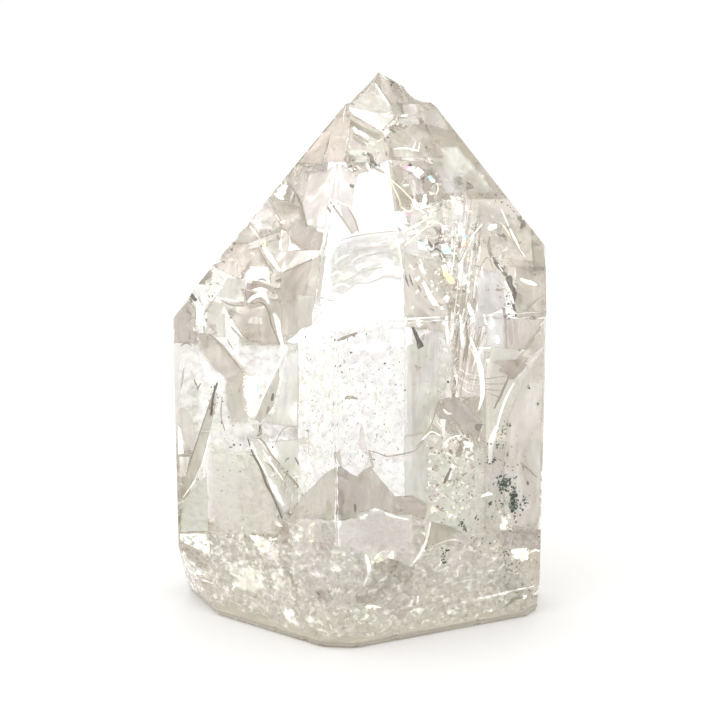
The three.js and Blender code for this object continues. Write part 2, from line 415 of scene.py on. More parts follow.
crack_film = crack_finish("crack_film")
left_cracks = [
    pane([(304, 166), (284, 182), (310, 168), (291, 186)], (1, 2), (0.62, 0.55), 0.6, tint=0.6),
    pane([(299, 175), (288, 183), (293, 194), (309, 172), (311, 185), (303, 196)], (2, 4), (0.8, 0.82),
         0.55),
    pane([(309, 173), (301, 208), (306, 226), (334, 166), (329, 200), (325, 230)], (3, 1.5), (0.85, 0.88),
         0.85, tint=0.6),
    pane([(282, 183), (275, 194), (289, 184), (284, 199)], (2, 3), (0.95, 0.9), 0.8, torn=0.2),
    sliver([(274, 193), (279, 197), (284, 199)], 2.2, 1.0, 2),
    crack([(270, 197, 2.8), (278, 216, 2.8), (283, 229, 3), (291, 240, 3), (303, 249, 2.5),
          (322, 251, 1.5)], [(285, 200, 4), (300, 207, 4), (304, 217, 4), (307, 228, 3), (314, 229, 2),
          (324, 233, 1.5)], (0.60, 0.50), 0.85, tint=0.6),
    sliver([(287, 182), (295, 192), (301, 205), (304, 216), (307, 227)], 2.4, 0.2, 2.8),
    sliver([(287, 182), (291, 186), (295, 192)], 3.0, 0.02, 2.5),
    pane([(251, 219), (257, 228), (264, 238), (269, 199), (276, 213), (281, 227)], (2, 5), (0.88, 0.9), 0.7,
         tint=0.6),
    pane([(281, 229), (279, 243), (280, 252), (289, 232), (292, 243), (302, 250)], (5, 6), (1.0, 1.0), 0.9,
         torn=0.2),
    pane([(271, 251), (276, 262), (281, 273), (319, 250), (321, 252), (322, 254)], (4, 1.5), (0.90, 0.88),
         0.9, tint=0.6),
    pane([(279, 275), (281, 302), (281, 340), (321, 254), (316, 294), (312, 325)], (4, 1.6), (0.63, 0.68),
         0.85),
    pane([(284, 343), (311, 326), (320, 309), (304, 344), (330, 336), (334, 322)], (4, 1.5), (0.97, 1.0),
         0.7, torn=0.1),
    pane([(311, 296), (316, 309), (318, 298), (322, 309)], (4, 5), (0.35, 0.4), 0.7, tint=0.9),
    pane([(250, 266), (243, 280), (268, 267), (269, 282)], (3, 5), (1.0, 1.0), 0.95, torn=0.12),
    sliver([(258, 280), (262, 279), (267, 281)], 2.5, 0.2, 2.8),
    pane([(246, 283), (246, 301), (266, 284), (270, 302)], (3, 5), (0.42, 0.46), 0.85, tint=0.75),
    sliver([(247, 303), (253, 297), (260, 295), (266, 298), (269, 305)], 4.0, 1.0, 2.6, tint=0.2),
    pane([(227, 278), (216, 296), (244, 279), (246, 302)], (2, 4), (0.77, 0.77), 0.8, tint=0.3),
    pane([(250, 290), (250, 322), (250, 341), (290, 290), (290, 330), (288, 345)], (7, 6), (0.66, 0.72),
         0.8),
    pane([(246, 240), (243, 262), (244, 290), (290, 230), (287, 262), (284, 292)], (6, 5), (0.80, 0.78),
         0.85),
    pane([(236, 252), (240, 266), (243, 277), (262, 246), (265, 258), (269, 267)], (4, 5), (0.58, 0.60),
         0.85, tint=0.7),
    pane([(249, 220), (239, 233), (230, 243), (254, 224), (262, 237), (244, 246)], (1.5, 3), (0.56, 0.60),
         0.85, torn=0.15),
    pane([(233, 242), (222, 255), (213, 267), (254, 245), (247, 262), (238, 279)], (1.5, 3), (0.52, 0.55),
         0.8, torn=0.2, tint=0.6),
    sliver([(261, 240), (267, 252), (275, 264), (281, 272)], 4.0, 1.0, 4),
    sliver([(258, 247), (266, 262), (274, 274)], 1.5, 0.3, 4),
    pane([(219, 301), (233, 322), (243, 337), (262, 346), (250, 303), (266, 305), (274, 320), (281, 346)],
         (2, 5), (0.62, 0.54), smooth=True, tint=0.6),
    pane([(250, 316), (246, 331), (262, 317), (264, 333)], (3, 4), (0.88, 0.86), torn=0.2, tint=0.2),
    sliver([(250, 303), (262, 303), (268, 311), (272, 326), (280, 345)], 1.8, 0.3, 2.5),
    sliver([(273, 312), (277, 322), (279, 333), (283, 348)], 4.8, 1.0),
    sliver([(286, 349), (280, 362), (265, 392), (254, 420)], 2.0, 0.97),
    sliver([(221, 300), (231, 305), (245, 306)], 1.6, 0.35, 2),
    pane([(208, 300), (205, 336), (224, 303), (227, 338)], (2, 4), (0.80, 0.76), tint=0.25),
    pane([(187, 299), (174, 317), (174, 344), (197, 308), (196, 326), (197, 344)], (1, 3), (0.51, 0.49),
         tint=0.75),
    pane([(196, 294), (196, 326), (201, 305), (207, 327)], (1.4, 1.8), (1.0, 1.0), 1.0, tint=0.0),
    sliver([(190, 293), (193, 298), (197, 301)], 4.5, 0.05, 1, tint=0.0),
    pane([(193, 343), (203, 360), (213, 370), (223, 380), (227, 404), (230, 426), (209, 327), (223, 344),
         (236, 360), (247, 375), (246, 392), (250, 426)], (2, 4), (0.46, 0.60), 0.82, smooth=True,
         torn=0.12, fade=0.06),
    sliver([(209, 334), (222, 346), (232, 358), (241, 370)], 2.6, 0.4, 2, tint=0.6),
    pane([(201, 333), (202, 348), (208, 333), (209, 346)], (2, 2.5), (0.42, 0.5), tint=0.0),
    pane([(195, 332), (196, 340), (201, 333), (202, 340)], (2, 2.5), (0.40, 0.45), 0.7, tint=1.0),
    sliver([(231, 327), (242, 339)], 1.3, 0.35, 2), sliver([(227, 339), (234, 351)], 1.3, 0.4, 2),
    sliver([(233, 326), (244, 338)], 1.2, 1.0, 2),
    sliver([(212, 329), (216, 333), (212, 334)], 1.4, 0.3, 1.5),
    sliver([(246, 220), (252, 229), (260, 239)], 1.3, 1.0, 2),
    sliver([(228, 276), (220, 288), (214, 297)], 1.4, 1.0, 1.5),
    sliver([(216, 297), (208, 308), (202, 318)], 1.4, 0.35, 1.5),
    sliver([(243, 262), (241, 270), (243, 279)], 1.8, 0.4),
    pane([(336, 163), (334, 200), (358, 174), (352, 206)], (1.5, 3), (0.86, 0.86), 0.85, torn=0.1,
         tint=0.9),
    pane([(331, 201), (343, 218), (352, 235), (346, 206), (353, 217), (359, 230)], (3, 4), (0.8, 0.7), 0.8),
    sliver([(330, 201), (341, 217), (353, 235)], 2.0, 0.3, 2.6),
    sliver([(347, 206), (354, 218), (359, 233)], 2.0, 0.28, 2.6),
    sliver([(350, 184), (353, 188)], 3.0, 0.15, 2),
]
join_cracks("left_cracks", left_cracks, crack_film)

# Cracks under the tip and right of the middle
# Darker cracks just under the chipped tip, a swirled one beside the bright window, and a silvery one at
# the right with a black broken edge.
right_cracks = [
    pane([(375, 82), (358, 95), (347, 106), (351, 114), (377, 83), (388, 100), (396, 116), (382, 131)],
         (0.5, 0.5), (0.74, 0.80), 0.85),
    pane([(373, 112), (365, 118), (390, 112), (384, 130)], (0.45, 0.45), (1.0, 1.0), 1.0, torn=0.15,
         tint=0.0),
    sliver([(376, 82), (384, 94), (392, 105)], 1.8, 0.3, 0.45),
    sliver([(375, 83), (383, 96), (390, 106)], 1.8, 1.0, 0.45),
    pane([(379, 76), (384, 90), (391, 104), (394, 80), (405, 90), (410, 104)], (0.6, 0.8), (0.44, 0.42),
         0.8, tint=0.7),
    sliver([(394, 79), (391, 86)], 3.0, 0.02, 0.5),
    pane([(402, 104), (404, 119), (420, 101), (431, 118)], (0.8, 1.2), (0.68, 0.64), 0.7, tint=0.6),
    sliver([(404, 119), (412, 115), (421, 110)], 2.2, 0.38, 0.8),
    sliver([(401, 116), (408, 115)], 3.0, 1.0, 0.7),
    pane([(419, 112), (424, 124), (436, 108), (452, 132)], (1, 1.5), (0.56, 0.54), 0.85, tint=0.55),
    pane([(352, 97), (335, 114), (329, 140), (324, 164), (359, 106), (352, 117), (348, 138), (343, 163)],
         (0.6, 0.9), (0.48, 0.50), 0.95, torn=0.1, tint=0.65),
    sliver([(348, 116), (366, 125), (384, 134)], 5.0, 0.5, 0.8),
    sliver([(346, 106), (344, 113), (343, 122)], 1.0, 0.9, 0.5),
    sliver([(353, 127), (358, 134)], 3.2, 1.0, 1),
    sliver([(358, 131), (363, 134), (369, 139)], 3.4, 1.0, 1),
    sliver([(354, 133), (362, 139), (370, 143)], 2.2, 0.33, 1.2),
    pane([(384, 135), (388, 158), (424, 121), (446, 158)], (2, 3), (0.58, 0.60), 0.85, torn=0.1, tint=0.4),
    pane([(349, 118), (341, 138), (337, 160), (357, 177), (384, 134), (388, 144), (390, 153), (389, 160)],
         (2, 2), (0.51, 0.56), 0.95, torn=0.06, tint=0.4),
    pane([(352, 150), (353, 163), (366, 150), (367, 162)], (1.2, 1.2), (0.80, 0.78), 0.7, torn=0.4,
         tint=-0.1),
    pane([(345, 155), (348, 168), (364, 153), (366, 172)], (2, 3), (0.58, 0.62), 0.7, torn=0.15, tint=1.0),
    sliver([(412, 151), (414, 146), (416, 141)], 1.6, 1.0, 1, tint=0.1),
    sliver([(418, 152), (420, 142)], 1.6, 0.98, 1, tint=0.1),
    sliver([(424, 151), (423, 143)], 1.5, 0.45, 1), sliver([(408, 150), (410, 141)], 1.5, 0.45, 1),
    sliver([(393, 149), (406, 148), (419, 151)], 1.8, 0.98, 1.5),
    sliver([(393, 144), (399, 145), (405, 144)], 1.6, 0.4, 1.5),
    pane([(399, 152), (401, 160), (428, 156), (430, 163)], (3, 4), (0.84, 0.84), 0.6, tint=1.0),
    crack([(388, 153, 3), (404, 155, 3), (425, 161, 4), (443, 170, 4)], [(388, 160, 4), (404, 161, 4),
          (422, 168, 4), (442, 175, 4)], (0.54, 0.53), 0.85, smooth=True, tint=0.6),
    sliver([(367, 153), (372, 156), (372, 161), (377, 166)], 3.6, 0.1, 1, torn=0.5),
    sliver([(373, 167), (378, 170), (385, 173)], 2.8, 0.35, 1.5),
    sliver([(367, 163), (369, 170)], 2.6, 1.0, 1),
    pane([(424, 148), (440, 195), (458, 145), (500, 195)], (2.5, 4), (0.68, 0.68), 0.85, tint=-0.12,
         fade=0.05),
    pane([(474, 162), (500, 200), (481, 160), (514, 198)], (0.8, 1), (0.52, 0.54), 0.8, torn=0.4, tint=0.8),
    pane([(388, 160), (391, 190), (398, 232), (408, 170), (411, 192), (410, 232)], (4, 6), (0.52, 0.58),
         0.7, tint=0.25),
    pane([(409, 174), (412, 188), (423, 180), (424, 197)], (4, 5), (0.66, 0.7), 0.5, torn=0.1, tint=0.8),
    pane([(428, 203), (427, 215), (432, 227), (450, 200), (458, 214), (453, 228)], (4, 7), (0.84, 0.78),
         0.6, bow=1.0, smooth=True, tint=0.3),
    sliver([(427, 217), (431, 206), (444, 201), (456, 207)], 1.5, 0.45, 3.8),
    sliver([(430, 219), (436, 210), (446, 207), (452, 212)], 1.3, 0.55, 3.8),
    pane([(451, 196), (452, 214), (461, 195), (463, 216)], (3, 4), (0.96, 1.0), torn=0.3, tint=0.9),
    pane([(453, 177), (452, 189), (463, 176), (462, 189)], (2, 3), (0.42, 0.55), 0.7, torn=0.6),
    pane([(427, 238), (428, 253), (440, 240), (441, 254)], (3, 4), (0.62, 0.75), 0.8, torn=0.4),
    sliver([(428, 241), (433, 246), (439, 242)], 2.4, 0.04, 2.8),
    sliver([(430, 252), (436, 249), (441, 252)], 2.2, 0.04, 2.8),
    sliver([(427, 246), (432, 250), (434, 244)], 1.8, 1.0, 2.6),
    pane([(402, 252), (403, 285), (403, 318), (448, 262), (451, 290), (449, 318)], (5, 8), (0.70, 0.68),
         0.9),
    sliver([(413, 262), (419, 258), (427, 262), (428, 270)], 1.3, 0.5, 4),
    pane([(421, 281), (428, 298), (433, 306), (424, 280), (433, 296), (440, 307)], (3, 3.4), (1.0, 1.0),
         0.95),
    sliver([(405, 275), (409, 287)], 2.0, 0.1), sliver([(409, 274), (413, 286)], 1.8, 0.1),
    pane([(480, 268), (476, 300), (472, 331), (499, 271), (505, 300), (508, 318)], (3, 6), (0.82, 0.83),
         0.9, tint=-0.3),
    sliver([(479, 270), (483, 262), (488, 258), (494, 270)], 1.6, 0.4),
    sliver([(490, 236), (489, 247), (491, 258)], 2.8, 0.3),
    sliver([(493, 256), (501, 268), (508, 279)], 5.0, 0.12, 2.8, torn=0.6),
    sliver([(507, 277), (513, 288), (517, 299), (518, 312)], 9.0, 0.02, 2.6, torn=0.6),
    sliver([(505, 281), (509, 292)], 2.2, 1.0, 2.4), sliver([(510, 293), (514, 304)], 2.2, 1.0, 2.4),
    sliver([(515, 303), (518, 312)], 1.6, 1.0, 2.4), sliver([(498, 264), (503, 272)], 1.6, 1.0, 2.4),
    sliver([(468, 302), (470, 309), (473, 316)], 5.0, 1.0),
    sliver([(520, 279), (528, 282), (537, 285)], 3.8, 0.98, 2),
    pane([(502, 257), (504, 266), (545, 262), (545, 272)], (2, 2), (0.42, 0.45), 0.7, torn=0.3, tint=0.8),
    pane([(508, 216), (519, 240), (524, 262), (527, 217), (543, 241), (546, 262)], (2, 1.5), (0.54, 0.50),
         0.8, torn=0.15, tint=0.35),
    pane([(532, 229), (533, 248), (533, 268), (537, 228), (546, 244), (547, 268)], (0.6, 0.5), (0.34, 0.31),
         0.9, torn=0.1, tint=0.35),
    pane([(493, 242), (494, 256), (524, 242), (524, 256)], (2, 3), (0.76, 0.72), 0.5, torn=0.2, fade=0.2),
    pane([(516, 264), (515, 318), (546, 268), (546, 318)], (2, 2.5), (0.50, 0.54), 0.85, tint=0.35),
    sliver([(526, 311), (536, 301), (544, 295)], 1.6, 0.4, 1.5),
    sliver([(519, 216), (523, 222), (521, 229)], 4.5, 0.12, 0.8),
    sliver([(501, 209), (513, 235), (526, 259)], 1.6, 1.0, 1.5),
    sliver([(483, 223), (473, 236), (465, 252), (458, 269)], 2.2, 1.0),
    sliver([(481, 228), (470, 241), (460, 262)], 1.2, 0.2, 2.9),
    sliver([(488, 229), (492, 227), (497, 226)], 6.0, 1.0, 2),
    sliver([(476, 223), (475, 232)], 1.6, 0.25, 2),
    sliver([(418, 210), (424, 207), (432, 206)], 2.0, 0.98, tint=0.1),
    sliver([(407, 234), (413, 232), (418, 231)], 4.0, 1.0),
    sliver([(390, 248), (397, 244), (404, 239)], 4.0, 0.95, torn=0.6, tint=0.0),
    sliver([(516, 240), (523, 252), (530, 250)], 1.3, 0.4, 1.5),
    sliver([(506, 225), (512, 238), (516, 250)], 1.2, 0.45, 1.5),
    pane([(337, 113), (323, 128), (307, 147), (298, 163), (342, 113), (332, 132), (327, 150), (321, 166)],
         (0.5, 0.7), (0.37, 0.41), 0.92, torn=0.06, tint=0.6),
]
join_cracks("right_cracks", right_cracks, crack_film)

# Cracks in the lower half
# A tall blade near the left corner, a kinked crack beside it, a dark two-peaked crack in the middle, a
# grey shard and some thin lines.
# The white slivers along the dark marks and the small glints are painted highlights.
low_cracks = [
    pane([(214, 390), (208, 407), (201, 431), (217, 392), (215, 410), (210, 431)], (2, 3), (0.66, 0.66),
         0.8, tint=0.1),
    pane([(201, 431), (192, 456), (184, 479), (180, 499), (210, 431), (201, 465), (193, 481), (182, 500)],
         (3, 4), (0.68, 0.54), 0.8, tint=0.35),
    sliver([(218, 382), (215, 392), (212, 402), (211, 416)], 2.6, 0.04, 1.8, torn=0.6),
    sliver([(214, 390), (208, 408), (200, 432), (185, 478)], 1.4, 0.35, 1.8),
    sliver([(211, 431), (202, 465), (194, 482), (182, 499)], 1.6, 1.0, 2.8),
    pane([(180, 407), (181, 428), (185, 453), (190, 410), (195, 432), (195, 452)], (1.5, 3), (0.74, 0.68),
         0.6, smooth=True, torn=0.12, tint=0.6),
    pane([(178, 424), (178, 455), (181, 428), (184, 455)], (1, 1.2), (1.0, 1.0), 0.8),
    pane([(179, 456), (179, 476), (190, 456), (187, 478)], (1, 2), (0.94, 0.9), 0.6),
    sliver([(178, 456), (191, 456)], 1.2, 0.45, 1), sliver([(184, 368), (181, 388)], 2.4, 0.6, 1),
    sliver([(194, 379), (198, 389)], 1.6, 0.25, 1.5), sliver([(197, 390), (201, 383)], 1.6, 0.3, 1.5),
    sliver([(222, 396), (221, 415), (225, 431)], 1.6, 0.45, 2.5),
    sliver([(180, 346), (187, 343), (192, 346)], 1.6, 0.3, 1),
    pane([(279, 365), (265, 392), (254, 420), (280, 379), (273, 407), (260, 423)], (4, 5), (0.68, 0.66),
         0.85, tint=0.2),
    sliver([(273, 393), (272, 401)], 3.2, 0.12, 3.8), sliver([(269, 406), (267, 414)], 3.2, 0.3, 3.8),
    sliver([(260, 425), (260, 432)], 2.4, 0.08, 4.5),
    pane([(252, 424), (247, 437), (262, 424), (262, 439)], (5, 6), (0.74, 0.74), 0.6),
    sliver([(247, 437), (253, 454), (260, 467), (266, 484), (273, 497), (283, 521)], 2.6, 0.12, 5),
    sliver([(250, 439), (256, 454), (263, 467), (268, 478)], 2.0, 1.0, 5),
    sliver([(267, 477), (273, 488), (278, 497), (284, 506)], 6.0, 1.0, 5.3, torn=0.5),
    pane([(247, 438), (259, 466), (270, 492), (282, 519), (262, 440), (279, 463), (296, 483), (304, 497)],
         (5.5, 8), (0.82, 0.76), 0.65, bow=0.6, tint=-0.05),
    sliver([(279, 463), (288, 471), (296, 483), (304, 497)], 2.3, 0.2, 7),
    sliver([(281, 468), (289, 477), (297, 489)], 1.4, 0.45, 7),
    sliver([(253, 438), (262, 440), (272, 455), (280, 464)], 1.8, 0.4, 5),
    sliver([(262, 449), (272, 464), (284, 481)], 1.5, 1.0, 5.2),
    pane([(262, 440), (279, 463), (297, 484), (305, 498), (300, 438), (300, 455), (300, 472), (307, 494)],
         (6, 8), (0.80, 0.80), 0.9, tint=-0.05),
    pane([(288, 352), (281, 385), (270, 425), (299, 350), (299, 385), (299, 430)], (4, 5), (0.83, 0.81),
         0.8, tint=-0.15),
    sliver([(274, 448), (279, 436), (285, 428), (296, 426)], 1.0, 0.5, 4.5),
    sliver([(265, 462), (272, 468), (275, 477)], 1.6, 0.35, 5),
    sliver([(298, 367), (298, 400), (297, 427)], 1.3, 0.6, 4),
    sliver([(295, 457), (298, 463), (305, 473)], 1.8, 0.06, 4),
    pane([(297, 438), (298, 444), (309, 437), (310, 444)], (3, 3), (0.70, 0.72), 0.65, torn=0.3, tint=0.0),
    sliver([(313, 400), (317, 402), (321, 400)], 1.3, 0.12), sliver([(312, 344), (313, 351)], 1.6, 0.4),
    sliver([(308, 428), (309, 440), (309, 454)], 2.0, 0.7, tint=1.0),
    sliver([(306, 356), (309, 362)], 1.3, 0.6),
    pane([(244, 379), (246, 398), (250, 421), (257, 373), (259, 390), (253, 421)], (3, 4), (1.0, 1.0), 0.85,
         torn=0.25),
    crack([(337, 467, 0.4), (324, 474, 2), (305, 494, 4), (285, 520, 5)], [(337, 467, 0.4), (337, 485, 0.4),
          (337, 505, 0.4), (337, 521, 0.4)], (0.55, 0.66), 0.85, torn=0.02, tint=0.25),
    sliver([(285, 520), (296, 513), (304, 506)], 6.0, 0.45, 4.5, tint=0.9),
    sliver([(327, 500), (329, 508), (328, 516)], 6.0, 0.5, 1.5),
    sliver([(300, 516), (312, 508), (318, 519)], 2.0, 0.8, 3.5),
    crack([(337, 465, 0.4), (342, 467, 0.8), (357, 476, 1.4), (363, 469, 1.6), (371, 466, 1.9),
          (384, 483, 2.3), (395, 496, 2.7), (412, 495, 3.2), (427, 504, 3.6)], [(337, 522, 0.4),
          (345, 521, 0.9), (352, 519, 1.5), (362, 514, 2), (375, 508, 2.4), (385, 512, 2.8),
          (398, 515, 3.2), (412, 515, 3.5), (427, 522, 3.8)], (0.46, 0.52), 0.85, torn=0.01, size=(41, 9)),
    sliver([(340, 490), (342, 502), (341, 515)], 7.0, 0.36, 0.8, torn=0.7, tint=1.0),
    sliver([(355, 504), (355, 512)], 3.2, 0.1, 1.5, torn=0.6),
    sliver([(352, 518), (358, 516)], 2.6, 0.06, 1.8),
    sliver([(359, 519), (363, 517), (367, 515)], 3.4, 1.0, 1.8, tint=0.0),
    pane([(396, 497), (400, 512), (425, 505), (426, 518)], (3, 3), (0.56, 0.58), 0.6, torn=0.15, tint=1.0),
    sliver([(337, 446), (339, 457), (341, 467)], 4.0, 0.6, 0.8),
    sliver([(369, 450), (371, 460), (373, 468)], 3.4, 0.5, 1.5),
    sliver([(372, 474), (381, 488), (394, 499)], 1.5, 0.9),
    sliver([(376, 508), (392, 516), (410, 520)], 1.8, 0.98),
    crack([(352, 508, 4), (350, 548, 4)], [(400, 508, 5), (412, 550, 5)], (0.68, 0.66), 0.55, torn=0.25,
          fade=0.2),
    pane([(430, 521), (429, 533), (428, 545), (447, 525), (462, 532), (474, 546)], (3, 4), (0.5, 0.55), 0.8,
         tint=0.2),
    pane([(428, 545), (418, 566), (474, 547), (476, 566)], (3, 4), (0.7, 0.72), 0.5, tint=0.2, fade=0.1),
    sliver([(431, 520), (426, 541), (419, 555), (409, 568)], 2.4, 0.96, 2.5),
    sliver([(432, 546), (450, 540), (462, 541)], 1.4, 0.85, 2.8),
    sliver([(370, 451), (378, 453), (385, 456), (391, 456), (407, 453), (416, 450), (425, 439)], 1.3, 0.35,
           1.5),
    pane([(390, 457), (396, 463), (413, 454), (412, 461)], (2, 2), (0.74, 0.76), 0.6, tint=0.8),
    pane([(361, 423), (359, 436), (358, 445), (362, 452), (362, 423), (365, 436), (367, 448), (368, 455)],
         (1.5, 1.5), (0.78, 0.72), 0.85, tint=0.8),
    sliver([(338, 405), (342, 400), (349, 397), (358, 399)], 3.4, 0.3, 1.5),
    sliver([(340, 407), (346, 402), (353, 401)], 1.5, 1.0, 1.4),
    sliver([(336, 341), (346, 337), (358, 333)], 3.4, 0.28, 1),
    sliver([(338, 344), (352, 338)], 1.6, 1.0, 1),
    pane([(411, 327), (416, 341), (418, 350), (414, 327), (420, 338), (425, 346)], (1.5, 1.5), (0.03, 0.05),
         0.95, torn=0.1),
    pane([(405, 326), (408, 346), (412, 328), (413, 346)], (1.8, 2), (1.0, 0.98), 0.8),
    sliver([(402, 320), (420, 318), (441, 317)], 1.2, 0.95, 1.5),
    sliver([(417, 325), (420, 324), (424, 322)], 4.0, 0.98, 1.4, tint=0.8),
    pane([(404, 346), (404, 400), (404, 438), (442, 322), (441, 400), (430, 438)], (3, 5), (0.77, 0.75),
         0.85, tint=-0.12, fade=0.04),
    sliver([(447, 315), (447, 330), (448, 344)], 3.0, 1.0, 2.5),
    sliver([(461, 315), (461, 330), (462, 346)], 2.4, 1.0, 2.5),
    sliver([(459, 322), (460, 340), (458, 361)], 2.4, 0.36, 2.5),
    sliver([(466, 322), (467, 345), (466, 361)], 2.6, 0.34, 2.5),
    sliver([(470, 335), (476, 351), (481, 370), (483, 392), (478, 412)], 4.6, 1.0, 2.3, torn=0.4, tint=0.3),
    pane([(458, 345), (458, 375), (456, 397), (477, 352), (482, 375), (482, 398)], (3.5, 4.5), (0.84, 0.86),
         0.6, tint=1.0),
    sliver([(459, 368), (468, 374), (481, 376)], 0.9, 0.9, 2.6),
    sliver([(459, 377), (468, 383), (481, 385)], 0.9, 0.9, 2.6),
    sliver([(460, 386), (468, 392), (480, 394)], 0.9, 0.9, 2.6),
    sliver([(461, 373), (470, 379), (480, 380)], 0.9, 0.45, 2.6),
    pane([(428, 434), (420, 448), (424, 462), (452, 430), (462, 440), (458, 460)], (3, 5), (0.86, 0.84),
         0.6, torn=0.1, fade=0.1),
    sliver([(421, 441), (431, 432), (441, 436)], 1.6, 1.0, 2.5),
    sliver([(443, 445), (451, 438), (460, 435)], 1.6, 1.0, 2.5),
    pane([(464, 441), (466, 459), (474, 441), (474, 461)], (3, 4), (0.98, 0.96), 0.8, torn=0.25),
    pane([(461, 444), (455, 453), (456, 457), (462, 446), (462, 453), (460, 457)], (2.5, 2.5), (0.28, 0.35),
         0.9),
    sliver([(451, 468), (447, 477), (444, 484)], 3.4, 0.1, 2.5),
    sliver([(452, 470), (449, 480)], 1.6, 1.0, 2.4),
    sliver([(509, 317), (510, 330), (512, 344)], 4.5, 0.02, 2, torn=0.4),
    sliver([(515, 320), (517, 336), (520, 352)], 4.0, 0.5, 2, tint=0.8),
    sliver([(497, 335), (498, 344)], 3.6, 1.0, 1.8, tint=0.6),
    sliver([(476, 348), (484, 348), (491, 348)], 1.5, 1.0, 1.8),
    sliver([(489, 316), (493, 322), (491, 330)], 3.4, 1.0, 1.8),
    sliver([(484, 318), (487, 325)], 2.0, 1.0, 1.8),
    pane([(545, 346), (522, 382), (506, 420), (503, 475), (504, 532), (546, 347), (545, 390), (544, 430),
         (543, 475), (541, 532)], (3, 1.5), (0.73, 0.69), 0.8, torn=0.02),
    pane([(504, 318), (505, 335), (508, 350), (545, 318), (538, 334), (527, 350)], (2, 1.5), (0.56, 0.60),
         0.85, torn=0.08, tint=0.75),
    pane([(486, 319), (487, 346), (506, 317), (509, 350)], (2.6, 2.6), (0.72, 0.74), 0.85, torn=0.05,
         tint=-0.2),
    pane([(404, 436), (404, 470), (405, 498), (428, 430), (428, 470), (428, 506)], (3, 4), (0.77, 0.75),
         0.85, tint=-0.12),
    sliver([(497, 424), (492, 445), (490, 464)], 6.0, 0.9, 1.8, torn=0.5, cover=0.7, tint=0.3),
    pane([(523, 350), (523, 357), (530, 349), (531, 357)], (2, 2), (1.0, 1.0), 0.85, torn=0.4),
    pane([(494, 360), (500, 369), (508, 379), (534, 359), (524, 370), (514, 380)], (2, 2.5), (0.52, 0.42),
         0.85, torn=0.25, tint=0.7),
    pane([(544, 322), (532, 340), (514, 362), (545, 345), (536, 352), (518, 368)], (1, 2), (0.6, 0.52), 0.7,
         tint=0.3),
    sliver([(545, 347), (530, 363), (517, 379)], 1.3, 0.9, 1.8),
    sliver([(515, 381), (508, 394), (501, 412), (494, 440)], 1.9, 1.0, 1.8),
    sliver([(508, 378), (501, 395), (494, 409)], 2.6, 0.2, 1.7),
    sliver([(521, 463), (529, 470), (537, 478)], 1.5, 0.4, 1.5),
    sliver([(484, 379), (506, 376)], 1.1, 0.4, 2), sliver([(484, 384), (505, 384)], 1.1, 0.4, 2),
    sliver([(485, 389), (503, 391)], 1.1, 0.4, 2), sliver([(487, 393), (502, 398)], 1.1, 0.45, 2),
    sliver([(481, 497), (487, 494), (493, 494)], 2.6, 1.0, 2, tint=0.3),
]
join_cracks("low_cracks", low_cracks, crack_film)

# Cloud band
# A curved grey veil that hangs across the bright window, with a rippled lower edge.
cloud_film = crack_finish("cloud_film", streak=(160.0, 400.0, 700.0), mirror=0.3, rough=0.4, relief=0.7,
                          glow=0.6, line=0.03)
cloud_band = [
    pane([(329, 262), (336, 246), (350, 237), (370, 234), (394, 232), (408, 233), (329, 292), (344, 293),
         (357, 285), (375, 279), (392, 280), (403, 284)], (4, 5.5), (0.84, 0.86), 0.85, smooth=True,
         torn=0.06, size=(50, 16), lumpy=0.5, tint=-0.2, fade=0.08),
    sliver([(355, 269), (371, 262), (384, 261), (393, 264)], 6.0, 1.0, 3.5),
    sliver([(368, 280), (380, 273), (392, 270), (404, 272)], 8.0, 1.0, 3.5),
    sliver([(337, 266), (352, 253), (372, 248), (398, 246)], 2.4, 0.72, 3.5),
    sliver([(333, 276), (348, 263), (362, 258)], 2.0, 0.72, 3.5),
    sliver([(340, 284), (354, 276), (368, 270), (384, 267)], 2.2, 0.72, 3.5),
    sliver([(366, 256), (382, 253), (398, 256)], 2.0, 0.7, 3.5),
    sliver([(345, 292), (357, 284), (368, 283), (386, 277), (402, 279)], 2.0, 0.68, 3.5),
    sliver([(340, 241), (356, 236), (376, 233), (398, 231)], 1.5, 0.5, 3.5),
    sliver([(332, 288), (342, 284), (350, 287)], 2.4, 1.0, 3.3),
    sliver([(331, 276), (338, 272), (343, 275)], 2.0, 1.0, 3.3),
    sliver([(334, 264), (341, 258), (350, 254)], 1.8, 0.98, 3.3),
    sliver([(350, 263), (362, 255), (376, 252)], 1.8, 0.95, 3.3),
    sliver([(378, 243), (390, 240), (400, 243)], 2.0, 0.95, 3.3),
]
join_cracks("cloud_band", cloud_band, cloud_film)

